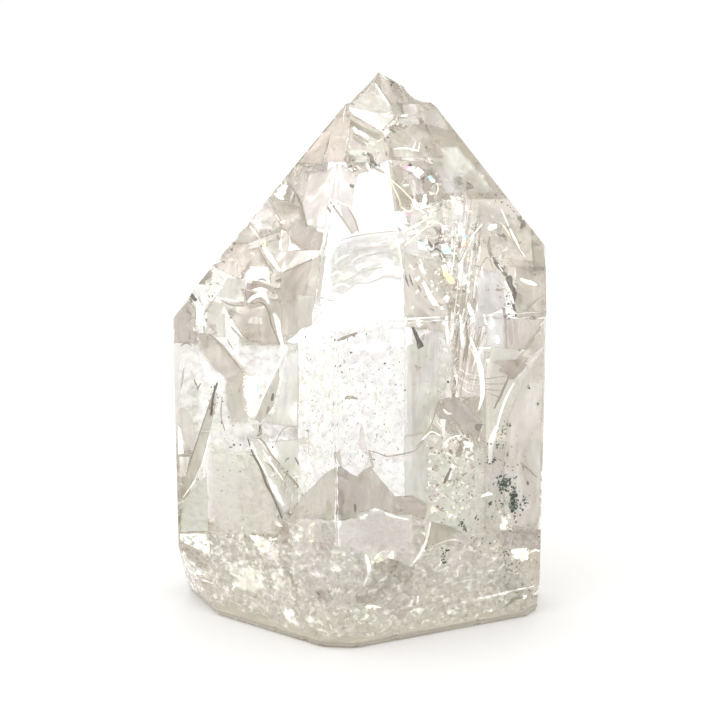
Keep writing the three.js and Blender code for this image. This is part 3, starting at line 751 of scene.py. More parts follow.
# Faint veils
# Thin haze on old healed cracks, which greys the lower half and the sides.
veil_film = crack_finish("veil_film", streak=(900.0, 900.0, 1100.0), mirror=0.15, rough=0.5, relief=0.3,
                         line=0.02, vary=0.045)
faint_veils = [
    pane([(203, 342), (199, 400), (205, 455), (300, 340), (300, 400), (300, 455)], (4.5, 8), (0.92, 0.88),
         0.9, tint=-0.2, fade=0.06),
    pane([(206, 440), (206, 485), (207, 538), (262, 440), (276, 485), (284, 536)], (4, 8), (0.87, 0.77),
         0.9, torn=0.0, tint=0.3, fade=0.04),
    pane([(182, 501), (178, 535), (207, 474), (209, 535)], (2, 3.5), (0.76, 0.76), 0.85, torn=0.0,
         tint=0.0),
    pane([(177, 346), (177, 400), (180, 455), (222, 352), (215, 400), (212, 455)], (2.5, 4.5), (0.92, 0.89),
         0.72, tint=-0.2, fade=0.1),
    pane([(425, 452), (424, 490), (424, 540), (487, 446), (487, 490), (486, 540)], (5, 5), (0.85, 0.81),
         0.85, torn=0.03, size=(30, 20), lumpy=0.5, tint=0.2, fade=0.04),
    pane([(482, 440), (483, 490), (484, 548), (543, 436), (541, 490), (539, 548)], (4, 2), (0.68, 0.61),
         0.85, torn=0.02, size=(30, 20), lumpy=0.5, tint=0.35, fade=0.04),
    crack([(298, 330, 4), (298, 500, 4)], [(337, 330, 1.2), (337, 468, 1.2)], (0.92, 0.90), 0.85, torn=0.0,
          tint=-0.2),
    crack([(337, 330, 1.2), (337, 478, 1.2)], [(406, 324, 4), (407, 498, 4)], (0.91, 0.90), 0.85, torn=0.0,
          tint=-0.2),
    crack([(284, 514, 4), (300, 600, 4)], [(338, 512, 1), (338, 610, 0.4)], (0.70, 0.68), 0.7, torn=0.0),
    crack([(336, 512, 1), (336, 610, 0.4)], [(425, 506, 5), (425, 600, 4)], (0.72, 0.68), 0.7, torn=0.0),
    crack([(425, 530, 4), (424, 600, 3)], [(541, 528, 3), (537, 592, 2)], (0.80, 0.78), 0.5, torn=0.0,
          fade=0.1),
    pane([(487, 340), (487, 436), (543, 326), (542, 436)], (3, 3), (0.78, 0.78), tint=0.25, fade=0.1),
    pane([(470, 196), (480, 250), (520, 210), (543, 252)], (3, 3), (0.62, 0.60), 0.7, tint=-0.1, fade=0.1),
]
join_cracks("faint_veils", faint_veils, veil_film)

# Sawn foot
# The foot is cut flat and only ground, not polished, so from inside it is a pale frosted floor, with a
# narrow ground rim that rises along the bevel, painted darker grey as shade along the foot's edge. The
# whole foot glows a little with painted light.
SAWN_SPOKES, SAWN_RINGS = 160, 24
SAWN_HEIGHT, LOWEST_CUT, RIM_INSET = 0.00012, 0.0001, 0.00018
RIM_HEIGHTS = (0.00014, 0.0003, 0.00045, 0.00065)
turn = np.linspace(0.0, 2.0 * np.pi, SAWN_SPOKES, endpoint=False)


def reach_at(height):
    """How far the crystal reaches from the middle of its foot at a height, round all the spokes."""
    return np.array([polished.ray_cast(Vector((0.0, 0.0, height)), Vector((math.cos(a), math.sin(a), 0.0)))[3]
                     for a in turn])


levels = [(share * reach_at(LOWEST_CUT), SAWN_HEIGHT) for share in np.linspace(0.02, 0.95, SAWN_RINGS)]
levels += [(reach_at(level) - RIM_INSET, level) for level in RIM_HEIGHTS]
sawn_points = np.array([np.stack([far * np.cos(turn), far * np.sin(turn), np.full(SAWN_SPOKES, level)],
                                 axis=-1) for far, level in levels])
ring_index = np.arange(len(levels) * SAWN_SPOKES).reshape(len(levels), SAWN_SPOKES)
inner, outer = ring_index[:-1], ring_index[1:]
sawn_faces = np.stack([inner, outer, np.roll(outer, -1, axis=1), np.roll(inner, -1, axis=1)], axis=-1)
sawn_faces = sawn_faces.reshape(-1, 4).tolist() + [ring_index[0].tolist()]
ground, tree, shader, place = new_finish("ground_quartz")
scratches = noise(tree, place, 110.0, 3.0)
stone = ramp(tree, scratches, (0.3, (0.44, 0.40, 0.33)), (0.7, (0.64, 0.60, 0.50)))
height = node(tree, "SeparateXYZ", {0: place}, "Z")
# Painted shade: the colour turns darker grey as the rim rises. The glow below is painted light.
stone_with_painted_shade = blend(tree, spread(tree, height, SAWN_HEIGHT, 0.0003), stone, (0.42, 0.385, 0.33, 1.0))
feed(shader, {"Base Color": stone_with_painted_shade, "Emission Color": stone_with_painted_shade, "Emission Strength": 0.45,
              "Roughness": spread(tree, scratches, 0.0, 1.0, 0.55, 0.8),
              "Normal": bumps(tree, scratches, 0.4, 0.0003)})
add_piece(new_mesh("sawn_foot", sawn_points, sawn_faces), ground)

# Rough foot
# Just above the sawn foot the quartz is full of small cracks, which show as a cloudy, lumpy layer, its
# darker and lighter patches painted into its tones as shade and highlights.
foot_film = crack_finish("foot_film", streak=(1200.0, 1000.0, 1400.0), mirror=0.2, rough=0.4, relief=1.0,
                         vary=0.22)
rough_foot = [
    crack([(180, 552, 2), (215, 533, 2), (250, 531, 3), (290, 540, 3), (335, 540, 1), (385, 552, 3),
          (430, 556, 3), (480, 552, 3), (538, 546, 2)], [(192, 600, 1), (232, 614, 1), (268, 624, 1),
          (303, 635, 1), (336, 643, 0.5), (385, 641, 1), (430, 632, 1), (480, 623, 1), (530, 608, 1)],
          (0.82, 0.77), 0.5, bow=0.6, torn=0.05, size=(90, 24), lumpy=1.6, tint=0.4, fade=0.1),
    pane([(179, 534), (180, 541), (210, 533), (211, 556)], (1.5, 2), (0.97, 0.95), 0.85, tint=0.3),
    pane([(179, 541), (182, 550), (199, 568), (200, 554), (211, 557), (205, 566)], (1.5, 2), (0.60, 0.57),
         0.7, torn=0.1, tint=0.8),
    pane([(181, 551), (185, 566), (193, 576), (188, 556), (200, 567), (206, 575)], (1.2, 1.6), (0.92, 0.9),
         0.8, tint=0.0),
    pane([(210, 533), (211, 566), (217, 533), (218, 570)], (2, 2.5), (0.7, 0.66), 0.65, torn=0.15,
         tint=0.7),
    sliver([(207, 532), (240, 531), (276, 530)], 1.4, 0.78, 2.5),
    sliver([(178, 533), (194, 532), (209, 532)], 1.6, 0.4, 1.4),
    sliver([(243, 525), (242, 537), (249, 556)], 3.4, 0.95, 2.5, torn=0.5, tint=0.1),
    sliver([(193, 578), (203, 580), (214, 584)], 2.0, 0.98, 1),
    pane([(250, 534), (255, 548), (267, 560), (260, 536), (274, 546), (279, 560)], (2.5, 3), (0.98, 0.98),
         torn=0.3, tint=1.0),
    pane([(275, 536), (280, 550), (286, 522), (289, 548)], (2.5, 3), (0.5, 0.58), torn=0.2, tint=0.8),
    pane([(286, 522), (292, 543), (313, 524), (315, 543)], (3, 3), (0.86, 0.84), 0.7, torn=0.15, tint=0.4),
    pane([(313, 524), (316, 548), (337, 522), (337, 543)], (2.5, 0.5), (0.72, 0.70), 0.7, torn=0.05,
         tint=0.3),
    pane([(314, 542), (317, 560), (337, 544), (341, 560)], (2, 1), (0.66, 0.62), 0.7, torn=0.3, tint=1.0),
    pane([(232, 567), (234, 589), (261, 567), (259, 591)], (2.5, 3), (0.97, 0.95), torn=0.5, tint=0.1),
    pane([(272, 566), (273, 588), (286, 569), (285, 590)], (2.5, 2.5), (0.94, 0.9), torn=0.2, tint=0.0),
    sliver([(287, 571), (292, 579), (293, 592)], 2.2, 0.4, 2.2),
    sliver([(296, 575), (305, 570), (311, 577), (309, 588)], 2.4, 0.38, 2.2),
    pane([(293, 573), (293, 592), (309, 573), (310, 592)], (2.5, 3), (0.68, 0.66), 0.65, smooth=True,
         torn=0.2),
    pane([(265, 590), (266, 606), (292, 592), (290, 610)], (2.5, 2.5), (0.66, 0.66), 0.6, torn=0.2,
         fade=0.1),
    pane([(283, 609), (288, 621), (293, 608), (297, 624)], (1, 1), (1.0, 1.0), 0.85, torn=0.3),
    pane([(306, 616), (308, 622), (312, 617), (313, 623)], (1, 1), (1.0, 0.98), 0.85, torn=0.3),
    pane([(316, 590), (317, 601), (334, 590), (327, 604)], (1.5, 1.5), (0.48, 0.5), torn=0.2, tint=0.8),
    sliver([(328, 612), (344, 614), (360, 612)], 5.0, 0.66, 1),
    sliver([(214, 545), (226, 548), (240, 546)], 3.0, 0.66, 2),
    pane([(366, 588), (374, 566), (386, 557), (378, 600), (392, 596), (398, 560)], (2, 2), (0.55, 0.53),
         0.8, torn=0.3, tint=0.3),
    pane([(386, 557), (390, 575), (392, 596), (400, 561), (413, 576), (416, 592)], (2, 2.2), (0.53, 0.54),
         0.8, torn=0.3),
    pane([(372, 594), (378, 608), (392, 622), (417, 590), (413, 608), (402, 622)], (2, 2), (0.58, 0.60),
         torn=0.3, tint=1.0),
    pane([(338, 592), (332, 599), (325, 606), (339, 592), (345, 599), (352, 606)], (1, 1), (0.66, 0.68),
         0.8, tint=0.1),
    sliver([(363, 588), (369, 571), (365, 552)], 3.6, 1.0, 1.8, torn=0.6, tint=0.3),
    sliver([(374, 560), (382, 554), (395, 558)], 3.6, 1.0, 1.8, torn=0.6, tint=0.2),
    pane([(354, 553), (355, 568), (363, 554), (365, 571)], (2, 2), (0.48, 0.5), torn=0.2, tint=0.8),
    pane([(352, 592), (354, 603), (374, 593), (375, 604)], (1.5, 1.5), (0.5, 0.52), torn=0.25),
    pane([(350, 605), (352, 620), (377, 606), (376, 621)], (1.2, 1.2), (0.78, 0.78), 0.6, torn=0.2,
         tint=0.0),
    sliver([(364, 607), (372, 606), (381, 608)], 2.2, 1.0, 1.2, tint=0.2),
    sliver([(418, 595), (417, 605)], 2.0, 1.0, 1.5, tint=1.0),
    pane([(500, 515), (501, 530), (507, 516), (508, 531)], (2, 2), (1.0, 1.0), 0.7, torn=0.4),
    pane([(511, 549), (513, 559), (527, 548), (528, 560)], (1.5, 1.5), (1.0, 1.0), 0.8, torn=0.35,
         tint=0.3),
    pane([(497, 531), (499, 550), (539, 532), (540, 550)], (1.5, 1.5), (0.60, 0.60), 0.65, torn=0.15,
         tint=0.9),
    sliver([(530, 552), (536, 550), (541, 552)], 2.4, 1.0, 1),
    pane([(488, 575), (490, 590), (524, 574), (526, 588)], (1.5, 1.5), (0.58, 0.6), 0.7, torn=0.2,
         tint=0.0),
    sliver([(469, 600), (488, 597), (507, 592), (535, 586)], 2.2, 0.98, 1),
    sliver([(485, 610), (489, 611), (492, 610)], 2.6, 1.0, 1),
    pane([(469, 601), (470, 613), (530, 590), (529, 608)], (1.2, 1.2), (0.7, 0.72), 0.6, torn=0.1,
         tint=0.0),
    sliver([(506, 606), (514, 600), (524, 597)], 3.0, 0.4, 1),
    sliver([(522, 598), (527, 596)], 2.6, 1.0, 1),
    pane([(432, 598), (436, 618), (466, 592), (466, 614)], (2, 2), (0.72, 0.74), 0.5, torn=0.2, fade=0.1),
    pane([(440, 566), (442, 590), (486, 564), (486, 588)], (2.5, 2.5), (0.78, 0.76), 0.55, torn=0.2,
         tint=0.2, fade=0.1),
]
join_cracks("rough_foot", rough_foot, foot_film)

# Rainbow films
# Where a crack is thinner than a hair's hundredth its film of air splits white light into colours that
# follow its thickness. A film's tones are places in one round of those colours, from pink to orange.
SPECTRUM = ((0.0, (0.95, 0.25, 0.50)), (0.12, (1.0, 0.82, 0.90)), (0.22, (1.0, 1.0, 1.0)),
            (0.40, (1.0, 1.0, 1.0)), (0.52, (0.35, 0.85, 0.62)), (0.64, (0.50, 0.80, 1.0)),
            (0.75, (0.92, 0.97, 1.0)), (0.86, (1.0, 0.92, 0.40)), (0.94, (1.0, 0.50, 0.25)),
            (1.0, (0.95, 0.25, 0.50)))
rainbow, tree, film, place = new_finish("rainbow_film")
thickness = maths(tree, "MULTIPLY_ADD", noise(tree, place, 420.0, 1.0), 0.4, -0.2)
shifted = maths(tree, "FRACT", maths(tree, "ADD", thickness, of_skin(tree, "tone")))
spectrum = ramp(tree, shifted, *SPECTRUM)
edge = node(tree, "Group", {"Width": 0.05, "Grain": 1500.0}, node_tree=torn_edge).node.outputs
shown = maths(tree, "MULTIPLY", edge["Inside"], of_skin(tree, "cover"))
# Painted reflection: the split colours are painted in as base colour and also glow.
feed(film, {"Base Color": spectrum, "Metallic": 0.7, "Roughness": 0.15, "Emission Color": spectrum,
            "Emission Strength": 0.45, "Alpha": shown})
rainbow_films = [
    pane([(403, 169), (413, 172), (405, 166), (415, 167)], (4, 4), (0.0, 0.25), 0.95, torn=0.2),
    pane([(414, 172), (419, 177), (417, 166), (424, 172)], (4, 4), (0.50, 0.3), 0.95, torn=0.2),
    pane([(427, 177), (432, 183), (431, 175), (436, 182)], (4, 4), (0.54, 0.35), 0.95, torn=0.2),
    sliver([(425, 194), (425, 200), (423, 206)], 4.0, 0.38, 4.0),
    sliver([(413, 199), (415, 203), (417, 208)], 4.5, 0.03, 4.0),
    pane([(403, 210), (403, 216), (409, 210), (409, 216)], (4, 4), (0.94, 0.99), 0.7, torn=0.2),
    pane([(395, 212), (394, 223), (405, 233), (400, 211), (401, 222), (409, 228)], (4, 4), (0.66, 0.72),
         0.9, torn=0.25),
    pane([(400, 212), (401, 222), (404, 211), (408, 224)], (3.8, 3.8), (0.3, 0.3), 0.85, torn=0.25),
    pane([(417, 241), (419, 249), (424, 242), (428, 251)], (4, 4), (0.64, 0.75), 0.9, torn=0.3),
    pane([(440, 245), (444, 254), (447, 243), (454, 254)], (4, 4), (0.35, 0.68), 0.9, torn=0.3),
    pane([(441, 225), (441, 230), (447, 225), (447, 230)], (4, 4), (0.0, 0.1), 0.7, torn=0.3),
    pane([(440, 266), (444, 277), (452, 285), (445, 264), (450, 273), (457, 282)], (4, 4), (0.74, 0.92),
         0.9, torn=0.35),
    pane([(446, 262), (449, 269), (451, 261), (454, 269)], (3.9, 3.9), (0.2, 0.05), 0.9, torn=0.25),
    pane([(459, 266), (460, 287), (463, 264), (467, 284)], (3.9, 3.9), (0.3, 0.3), 0.9, torn=0.3),
    pane([(458, 223), (459, 236), (463, 222), (464, 235)], (4, 4), (0.25, 0.35), 0.9, torn=0.2),
    pane([(462, 236), (461, 248), (468, 234), (468, 246)], (4, 4), (0.5, 1.02), 0.9, torn=0.2),
    pane([(415, 323), (419, 327), (421, 320), (425, 324)], (2, 2), (0.86, 0.95), 0.7, torn=0.2),
    pane([(359, 519), (363, 514), (364, 519), (368, 514)], (2, 2), (0.35, 0.52), 0.8, torn=0.3),
    pane([(261, 241), (262, 247), (265, 241), (267, 246)], (3, 3), (0.78, 0.84), 0.6, torn=0.3),
    sliver([(257, 384), (258, 388), (258, 392)], 1.8, 0.64, 2.8),
    sliver([(391, 248), (397, 244), (404, 240)], 3.0, 0.86, 2.9, cover=0.6),
]
join_cracks("rainbow_films", rainbow_films, rainbow)

# Golden lines
# Fine bright lines, the lit rims of small cracks, fan out beside the rainbow films.
GILDED = (1.0, 0.90, 0.60)
golden = crack_finish("golden_rim", mirror=0.6, rough=0.2, line=0.01, rose=GILDED)
golden_lines = [sliver(path, 1.3, 0.97, tint=1.1, torn=0.3) for path in (
    ((389, 178), (399, 199), (400, 206)), ((389, 178), (404, 191), (413, 201)),
    ((400, 206), (407, 211), (413, 210)), ((437, 183), (438, 189), (436, 195)),
    ((404, 232), (418, 224), (430, 216)), ((470, 345), (480, 372), (482, 398)),
    ((404, 246), (420, 232), (428, 226)), ((500, 222), (508, 232), (514, 240)),
    ((544, 322), (536, 334), (530, 344)), ((388, 162), (391, 190), (394, 231)),
    ((394, 231), (399, 250), (402, 268)))]
join_cracks("golden_lines", golden_lines, golden)

# Fibres
# A bundle of fine upright cracks to the right of the middle, from the pyramid down to the brown flake.
FIBRE_COUNT, SHORTEST, LONGEST = 46, 25.0, 90.0
HIGHEST, LAST_START, LOWEST = 178.0, 345.0, 396.0
START_LEFT, START_WIDE, START_DRIFT = 452.0, 30.0, 0.04
END_LEFT, END_WIDE, END_STRAY, MIDDLE_STRAY = 447.0, 27.0, 3.0, 2.0
rng = np.random.default_rng(4)
fibre_film = crack_finish("fibre_film", streak=(900.0, 900.0, 120.0), rough=0.25, glow=0.5)
fibres = []
for _ in range(FIBRE_COUNT):
    across, top = rng.uniform(0.0, 1.0), rng.uniform(HIGHEST, LAST_START)
    end = min(top + rng.uniform(SHORTEST, LONGEST), LOWEST)
    start_x = START_LEFT + START_WIDE * across + START_DRIFT * (top - HIGHEST)
    end_x = END_LEFT + END_WIDE * across + rng.uniform(-END_STRAY, END_STRAY)
    middle = (0.5 * (start_x + end_x) + rng.uniform(-MIDDLE_STRAY, MIDDLE_STRAY), 0.5 * (top + end))
    wide, tone = rng.uniform(0.7, 2.8), rng.choice([0.45, 0.55, 0.65, 0.9, 1.0])
    deep, tint = rng.uniform(2.0, 7.0), rng.uniform(0.3, 1.0)
    fibres.append(sliver([(start_x, top), middle, (end_x, end)], wide, tone, deep, tint, 0.7))
join_cracks("fibres", fibres, fibre_film)

# Brown flake
# One bent flake of brown mica-like film lies on edge below the fibres, with a bright sliver beside it that is
# a painted highlight.
flake_film = crack_finish("flake_film", streak=(500.0, 500.0, 500.0), mirror=0.2, rough=0.35, glow=0.4,
                          line=0.06, vary=0.08)
brown_flake = [
    pane([(440, 400), (451, 416), (465, 435), (474, 438), (447, 397), (459, 397), (468, 405), (484, 425)],
         (3, 4), (0.62, 0.65), 0.92, bow=0.4, tint=0.45),
    pane([(439, 403), (440, 417), (449, 422), (445, 402), (454, 417), (456, 421)], (2.9, 3), (0.56, 0.56),
         0.85, torn=0.1),
    pane([(476, 424), (473, 437), (484, 424), (480, 430)], (3, 3), (0.3, 0.35), 0.85, torn=0.2),
    sliver([(443, 409), (447, 413), (452, 414)], 3.0, 1.0, 2.6),
    sliver([(459, 398), (463, 408), (471, 417)], 1.4, 0.62, 2.6),
    pane([(440, 418), (443, 442), (446, 419), (444, 441)], (2.8, 2.8), (1.0, 0.97), 0.9, torn=0.1),
    sliver([(439, 402), (432, 422), (424, 438), (416, 447)], 1.3, 0.3, 2.6),
    sliver([(455, 424), (463, 436), (471, 440)], 1.4, 0.9, 2.6),
]
join_cracks("brown_flake", brown_flake, flake_film)


# Shattered quartz
# Between the large cracks the quartz is broken into small curved flakes, at every angle and shade.
def patch_spots(corners, count, rng, thick=1.0, gather=False):
    """Random spots in a patch of the photograph: its four corners carried into the crystal and blended
    bilinearly, then pushed in by up to a thickness in millimetres. Gathered spots crowd the middle. Gives
    the spots that lie inside the crystal and how far each is from its surface."""
    a, b, c, d = (np.array(into_crystal(*spot)) for spot in corners)
    u, v = 0.5 + rng.normal(0.0, 0.3, (2, count, 1)) if gather else rng.uniform(0.0, 1.0, (2, count, 1))
    spots = (a * (1 - u) + b * u) * (1 - v) + (d * (1 - u) + c * u) * v
    spots = spots + np.array([0.0, 1.0, -0.15]) * rng.uniform(0.0, thick / 1000.0, (count, 1))
    nearest = [polished.find_nearest(Vector(spot))[:2] for spot in spots]
    gap = np.array([(place - Vector(spot)).dot(outward) for (place, outward), spot in zip(nearest, spots)])
    return spots[gap > SKIN_GAP / 2], gap[gap > SKIN_GAP / 2]


def spot_at(x, y, deep=1.5, wide=2.0):
    """The corners of a small square patch round one spot of the photograph."""
    return [(x + wide * i, y + wide * j, deep) for i, j in ((-1, -1), (1, -1), (1, 1), (-1, 1))]


def turned(rng, count, stray, lean):
    """Random directions that lean one way, each with two more at right angles to it."""
    normal = rng.normal(size=(count, 3)) * stray + lean
    normal /= np.linalg.norm(normal, axis=1, keepdims=True)
    along = np.cross(normal, rng.normal(size=(count, 3)))
    along /= np.linalg.norm(along, axis=1, keepdims=True)
    return normal, along, np.cross(normal, along)


def shattered(name, patches, finish, seed):
    """Small curved skins at random spots: P(u, v) = m + s (u a + v b) + s h (1 - u^2 - v^2) n for u and v
    from -1 to 1, with a, b and n at right angles, turned at random, and one end drawn to a point."""
    rng = np.random.default_rng(seed)
    middles, size, shade = [], [], []
    for corners, count, big, tones, deep in patches:
        spots, gap = patch_spots(corners, count, rng, deep)
        middles.append(spots)
        size.append(np.minimum(big / 1000.0 * rng.uniform(0.3, 1.0, len(gap)), 0.7 * gap))
        shade.append(rng.choice(tones, len(gap)))
    middles, shade = np.vstack(middles), np.concatenate(shade)
    size = np.concatenate(size)[:, None, None, None]
    count, grid = len(middles), 5
    normal, along, across = (part[:, None, None] for part in turned(rng, count, 1.0, (0.0, -0.8, 0.0)))
    u, v = np.meshgrid(np.linspace(-1.0, 1.0, grid), np.linspace(-1.0, 1.0, grid))
    flat = np.dstack([(u + 1.0) / 2.0, (v + 1.0) / 2.0])
    u, v = u[None, ..., None], v[None, ..., None]
    each = (count, 1, 1, 1)
    point = 1.0 - rng.uniform(0.3, 1.0, each) * (v + 1.0) / 2.0
    slim = rng.uniform(0.25, 0.9, each)
    spread_out = (u * point * slim + 0.25 * rng.normal(size=each) * v) * across
    high = rng.uniform(-0.35, 0.35, each) * (1.0 - u * u - v * v)
    points = middles[:, None, None] + size * (spread_out + v * along + high * normal)
    tints = rng.uniform(0.0, 1.0, count)
    join_cracks(name, [{"points": p, "map": flat, "tone": np.full((grid, grid), tone),
                        "cover": np.full((grid, grid), 0.8), "tint": np.full((grid, grid), tint)}
                       for p, tone, tint in zip(points, shade, tints)], finish)


MIXED = (0.25, 0.45, 0.6, 0.75, 0.95, 1.0)
FOOT_TONES = (0.35, 0.5, 0.6, 0.7, 0.8, 0.9, 1.0)
shattered("shattered_quartz", [
    ([(262, 238, 2), (282, 200, 2), (286, 300, 4), (262, 300, 4)], 26, 0.8, MIXED, 2.0),
    ([(178, 318, 1), (250, 226, 1), (262, 300, 3), (196, 345, 3)], 90, 0.8, MIXED, 3.0),
    ([(315, 150, 1), (345, 118, 1), (345, 165, 2), (305, 172, 2)], 24, 0.7, (0.45, 0.6, 0.7, 0.9), 1.0),
    ([(345, 140, 1), (384, 140, 1), (380, 172, 1.5), (342, 172, 1.5)], 36, 0.5, MIXED, 0.5),
    ([(390, 150, 2), (500, 190, 2), (520, 250, 4), (400, 250, 5)], 110, 0.7, MIXED, 3.0),
    ([(412, 236, 3), (480, 236, 3), (476, 320, 5), (408, 316, 5)], 90, 0.7, MIXED, 3.0),
    ([(484, 200, 1), (543, 250, 1), (543, 318, 3), (486, 320, 4)], 70, 0.8, (0.35, 0.5, 0.65, 0.9), 2.0),
    ([(424, 440, 2), (474, 430, 2), (472, 520, 4), (426, 520, 4)], 150, 0.5, (0.3, 0.45, 0.6, 0.7, 0.85, 1.0),
     2.0),
    ([(240, 395, 3), (300, 470, 4), (306, 520, 5), (250, 450, 4)], 34, 0.7, (0.4, 0.7, 0.9, 1.0), 2.0),
    ([(205, 540, 2), (420, 552, 2), (420, 620, 2), (215, 600, 2)], 300, 0.65, FOOT_TONES, 3.0),
    ([(420, 552, 2), (535, 545, 2), (528, 600, 2), (425, 620, 2)], 150, 0.65, FOOT_TONES, 3.0),
    ([(340, 385, 0.3), (405, 385, 2.4), (405, 470, 2.4), (340, 465, 0.3)], 60, 0.3, (0.6, 0.7, 0.8, 0.95),
     1.0),
    ([(412, 330, 2), (470, 330, 3), (470, 400, 3), (412, 420, 3)], 40, 0.5, (0.55, 0.7, 0.85), 2.0),
    ([(195, 535, 12), (538, 532, 12), (535, 592, 8), (200, 592, 8)], 520, 1.0, FOOT_TONES, 24.0),
], finish=crack_film, seed=41)

# Wisps
# The bright column in the middle is crossed by faint grey wisps, which are the smallest of the flakes.
WISP_TONES = (0.74, 0.8, 0.88)
shattered("wisps", [
    ([(301, 336, 2.4), (334, 336, 0.3), (334, 470, 0.3), (301, 478, 2.4)], 110, 0.36, WISP_TONES, 0.3),
    ([(340, 350, 0.3), (404, 345, 2.2), (404, 480, 2.2), (340, 464, 0.3)], 200, 0.36, WISP_TONES, 0.3),
], finish=crack_film, seed=43)


# Sparkles
# Tiny lit chips of crack, each a flat five-sided fleck tilted its own way.
def flecks(name, patches, size, finish, seed, stretch=1.0):
    """Flat five-sided flecks at random spots: a ring of five random radii on two random directions at
    right angles to each other."""
    rng = np.random.default_rng(seed)
    chosen = [patch_spots(corners, count, rng) for corners, count in patches]
    middles, gap = (np.concatenate(part) for part in zip(*chosen))
    count = len(middles)
    _, first, second = turned(rng, count, (0.5, 0.3, 0.5), (0.0, -1.0, 0.0))
    around = np.linspace(0.0, 2.0 * np.pi, 5, endpoint=False)
    radius = rng.uniform(0.4, 1.0, (count, 5)) * rng.uniform(0.3, 1.0, (count, 1)) * size / 1000.0
    radius = np.minimum(radius, 0.6 * gap[:, None] / stretch)
    ring = (middles[:, None] + first[:, None] * (radius * np.cos(around))[..., None] * stretch
            + second[:, None] * (radius * np.sin(around))[..., None])
    add_piece(new_mesh(name, ring, np.arange(count * 5).reshape(count, 5).tolist()), finish)


def fleck_finish(name, dark, light, glow):
    """A fleck's finish: its colour and its gloss change from fleck to fleck with a coarse noise."""
    finish, tree, shader, place = new_finish(name)
    patch = noise(tree, place, 900.0)
    colour = ramp(tree, patch, (0.35, dark), (0.65, light))
    feed(shader, {"Base Color": colour, "Emission Color": colour, "Emission Strength": glow,
                  "Roughness": spread(tree, patch, 0.0, 1.0, 0.15, 0.5)})
    return finish


sparkle = fleck_finish("lit_fleck", (1.0, 0.93, 0.74), (1.0, 1.0, 1.0), 0.4)
flecks("sparkles", [
    ([(232, 566, 2), (262, 566, 2), (260, 591, 2), (234, 591, 2)], 110),
    ([(252, 534, 2), (276, 540, 2), (282, 562, 2), (262, 556, 2)], 40),
    ([(272, 568, 2), (282, 568, 2), (282, 590, 2), (272, 588, 2)], 20),
    ([(281, 607, 1), (290, 607, 1), (298, 624, 1), (288, 622, 1)], 34),
    ([(306, 616, 1), (313, 616, 1), (314, 623, 1), (308, 623, 1)], 14),
    ([(366, 562, 2), (384, 551, 2), (396, 553, 2), (374, 572, 2)], 36),
    ([(331, 550, 1), (341, 550, 1), (341, 560, 1), (331, 560, 1)], 24),
    ([(310, 524, 2), (314, 524, 2), (314, 543, 2), (310, 543, 2)], 16),
    ([(350, 604, 1), (378, 604, 1), (376, 620, 1), (352, 620, 1)], 24),
    ([(511, 549, 1), (528, 549, 1), (527, 560, 1), (513, 560, 1)], 20),
    ([(428, 190, 3), (480, 196, 3), (470, 300, 3), (420, 290, 3)], 90),
    ([(243, 372, 3), (262, 372, 3), (258, 415, 3), (246, 415, 3)], 40),
    ([(430, 440, 3), (475, 430, 3), (470, 520, 3), (428, 515, 3)], 70),
    ([(500, 478, 2), (510, 520, 2), (520, 580, 2), (490, 590, 2)], 22),
    ([(250, 560, 2), (420, 565, 2), (470, 610, 2), (290, 625, 2)], 50),
    ([(338, 166, 2), (357, 172, 2), (356, 202, 3), (337, 196, 3)], 24),
] + [(spot_at(x, y, 1.5, wide), count) for x, y, wide, count in (
    (212, 271, 3, 9), (231, 260, 1, 4), (219, 281, 2, 6), (225, 278, 1, 3), (198, 290, 1, 3),
    (210, 301, 1, 3), (341, 155, 1, 3), (355, 155, 1, 3), (349, 147, 1, 3), (338, 147, 1, 3),
    (456, 205, 5, 14), (415, 170, 3, 5), (527, 355, 1, 3), (523, 361, 1, 3), (463, 244, 2, 4),
    (264, 244, 2, 4), (497, 341, 1, 4), (412, 267, 3, 6))],
    size=0.42, finish=sparkle, seed=21)

# Dark specks
# Small black-brown hollows and dust caught in the cracks.
speck = fleck_finish("dark_fleck", (0.03, 0.025, 0.02), (0.22, 0.19, 0.15), 0.0)
flecks("dark_specks", [
    ([(366, 153, 1), (374, 153, 1), (376, 172, 1), (368, 170, 1)], 20),
    ([(431, 240, 3), (442, 240, 3), (440, 252, 3), (430, 250, 3)], 16),
    ([(452, 176, 3), (474, 178, 3), (470, 190, 3), (452, 188, 3)], 16),
    ([(474, 160, 1), (486, 166, 1), (526, 224, 1), (512, 226, 1)], 30),
    ([(490, 250, 3), (504, 262, 3), (516, 320, 3), (502, 320, 3)], 40),
    ([(339, 330, 0.3), (404, 326, 2.4), (404, 470, 2.4), (339, 465, 0.3)], 44),
    ([(300, 330, 2.6), (335, 332, 0.3), (335, 470, 0.3), (300, 480, 2.6)], 18),
    ([(430, 430, 3), (540, 430, 2), (538, 600, 2), (425, 600, 3)], 150),
    ([(210, 384, 2), (219, 386, 2), (216, 416, 2), (210, 416, 2)], 40),
    ([(204, 420, 3), (245, 380, 3), (245, 520, 3), (200, 520, 3)], 30),
    ([(317, 590, 1), (334, 590, 1), (327, 604, 1), (317, 602, 1)], 20),
    ([(225, 560, 2), (420, 560, 2), (420, 625, 1), (235, 610, 1)], 80),
] + [(spot_at(x, y, 1.2, 0.6), 4) for x, y in (
    (387, 138), (426, 148), (235, 244), (232, 250), (229, 253), (224, 262), (213, 296), (353, 186),
    (448, 382), (273, 447), (235, 445), (231, 447), (241, 445), (338, 425), (313, 400), (432, 469),
    (468, 184), (448, 551))],
    size=0.17, finish=speck, seed=22, stretch=1.6)

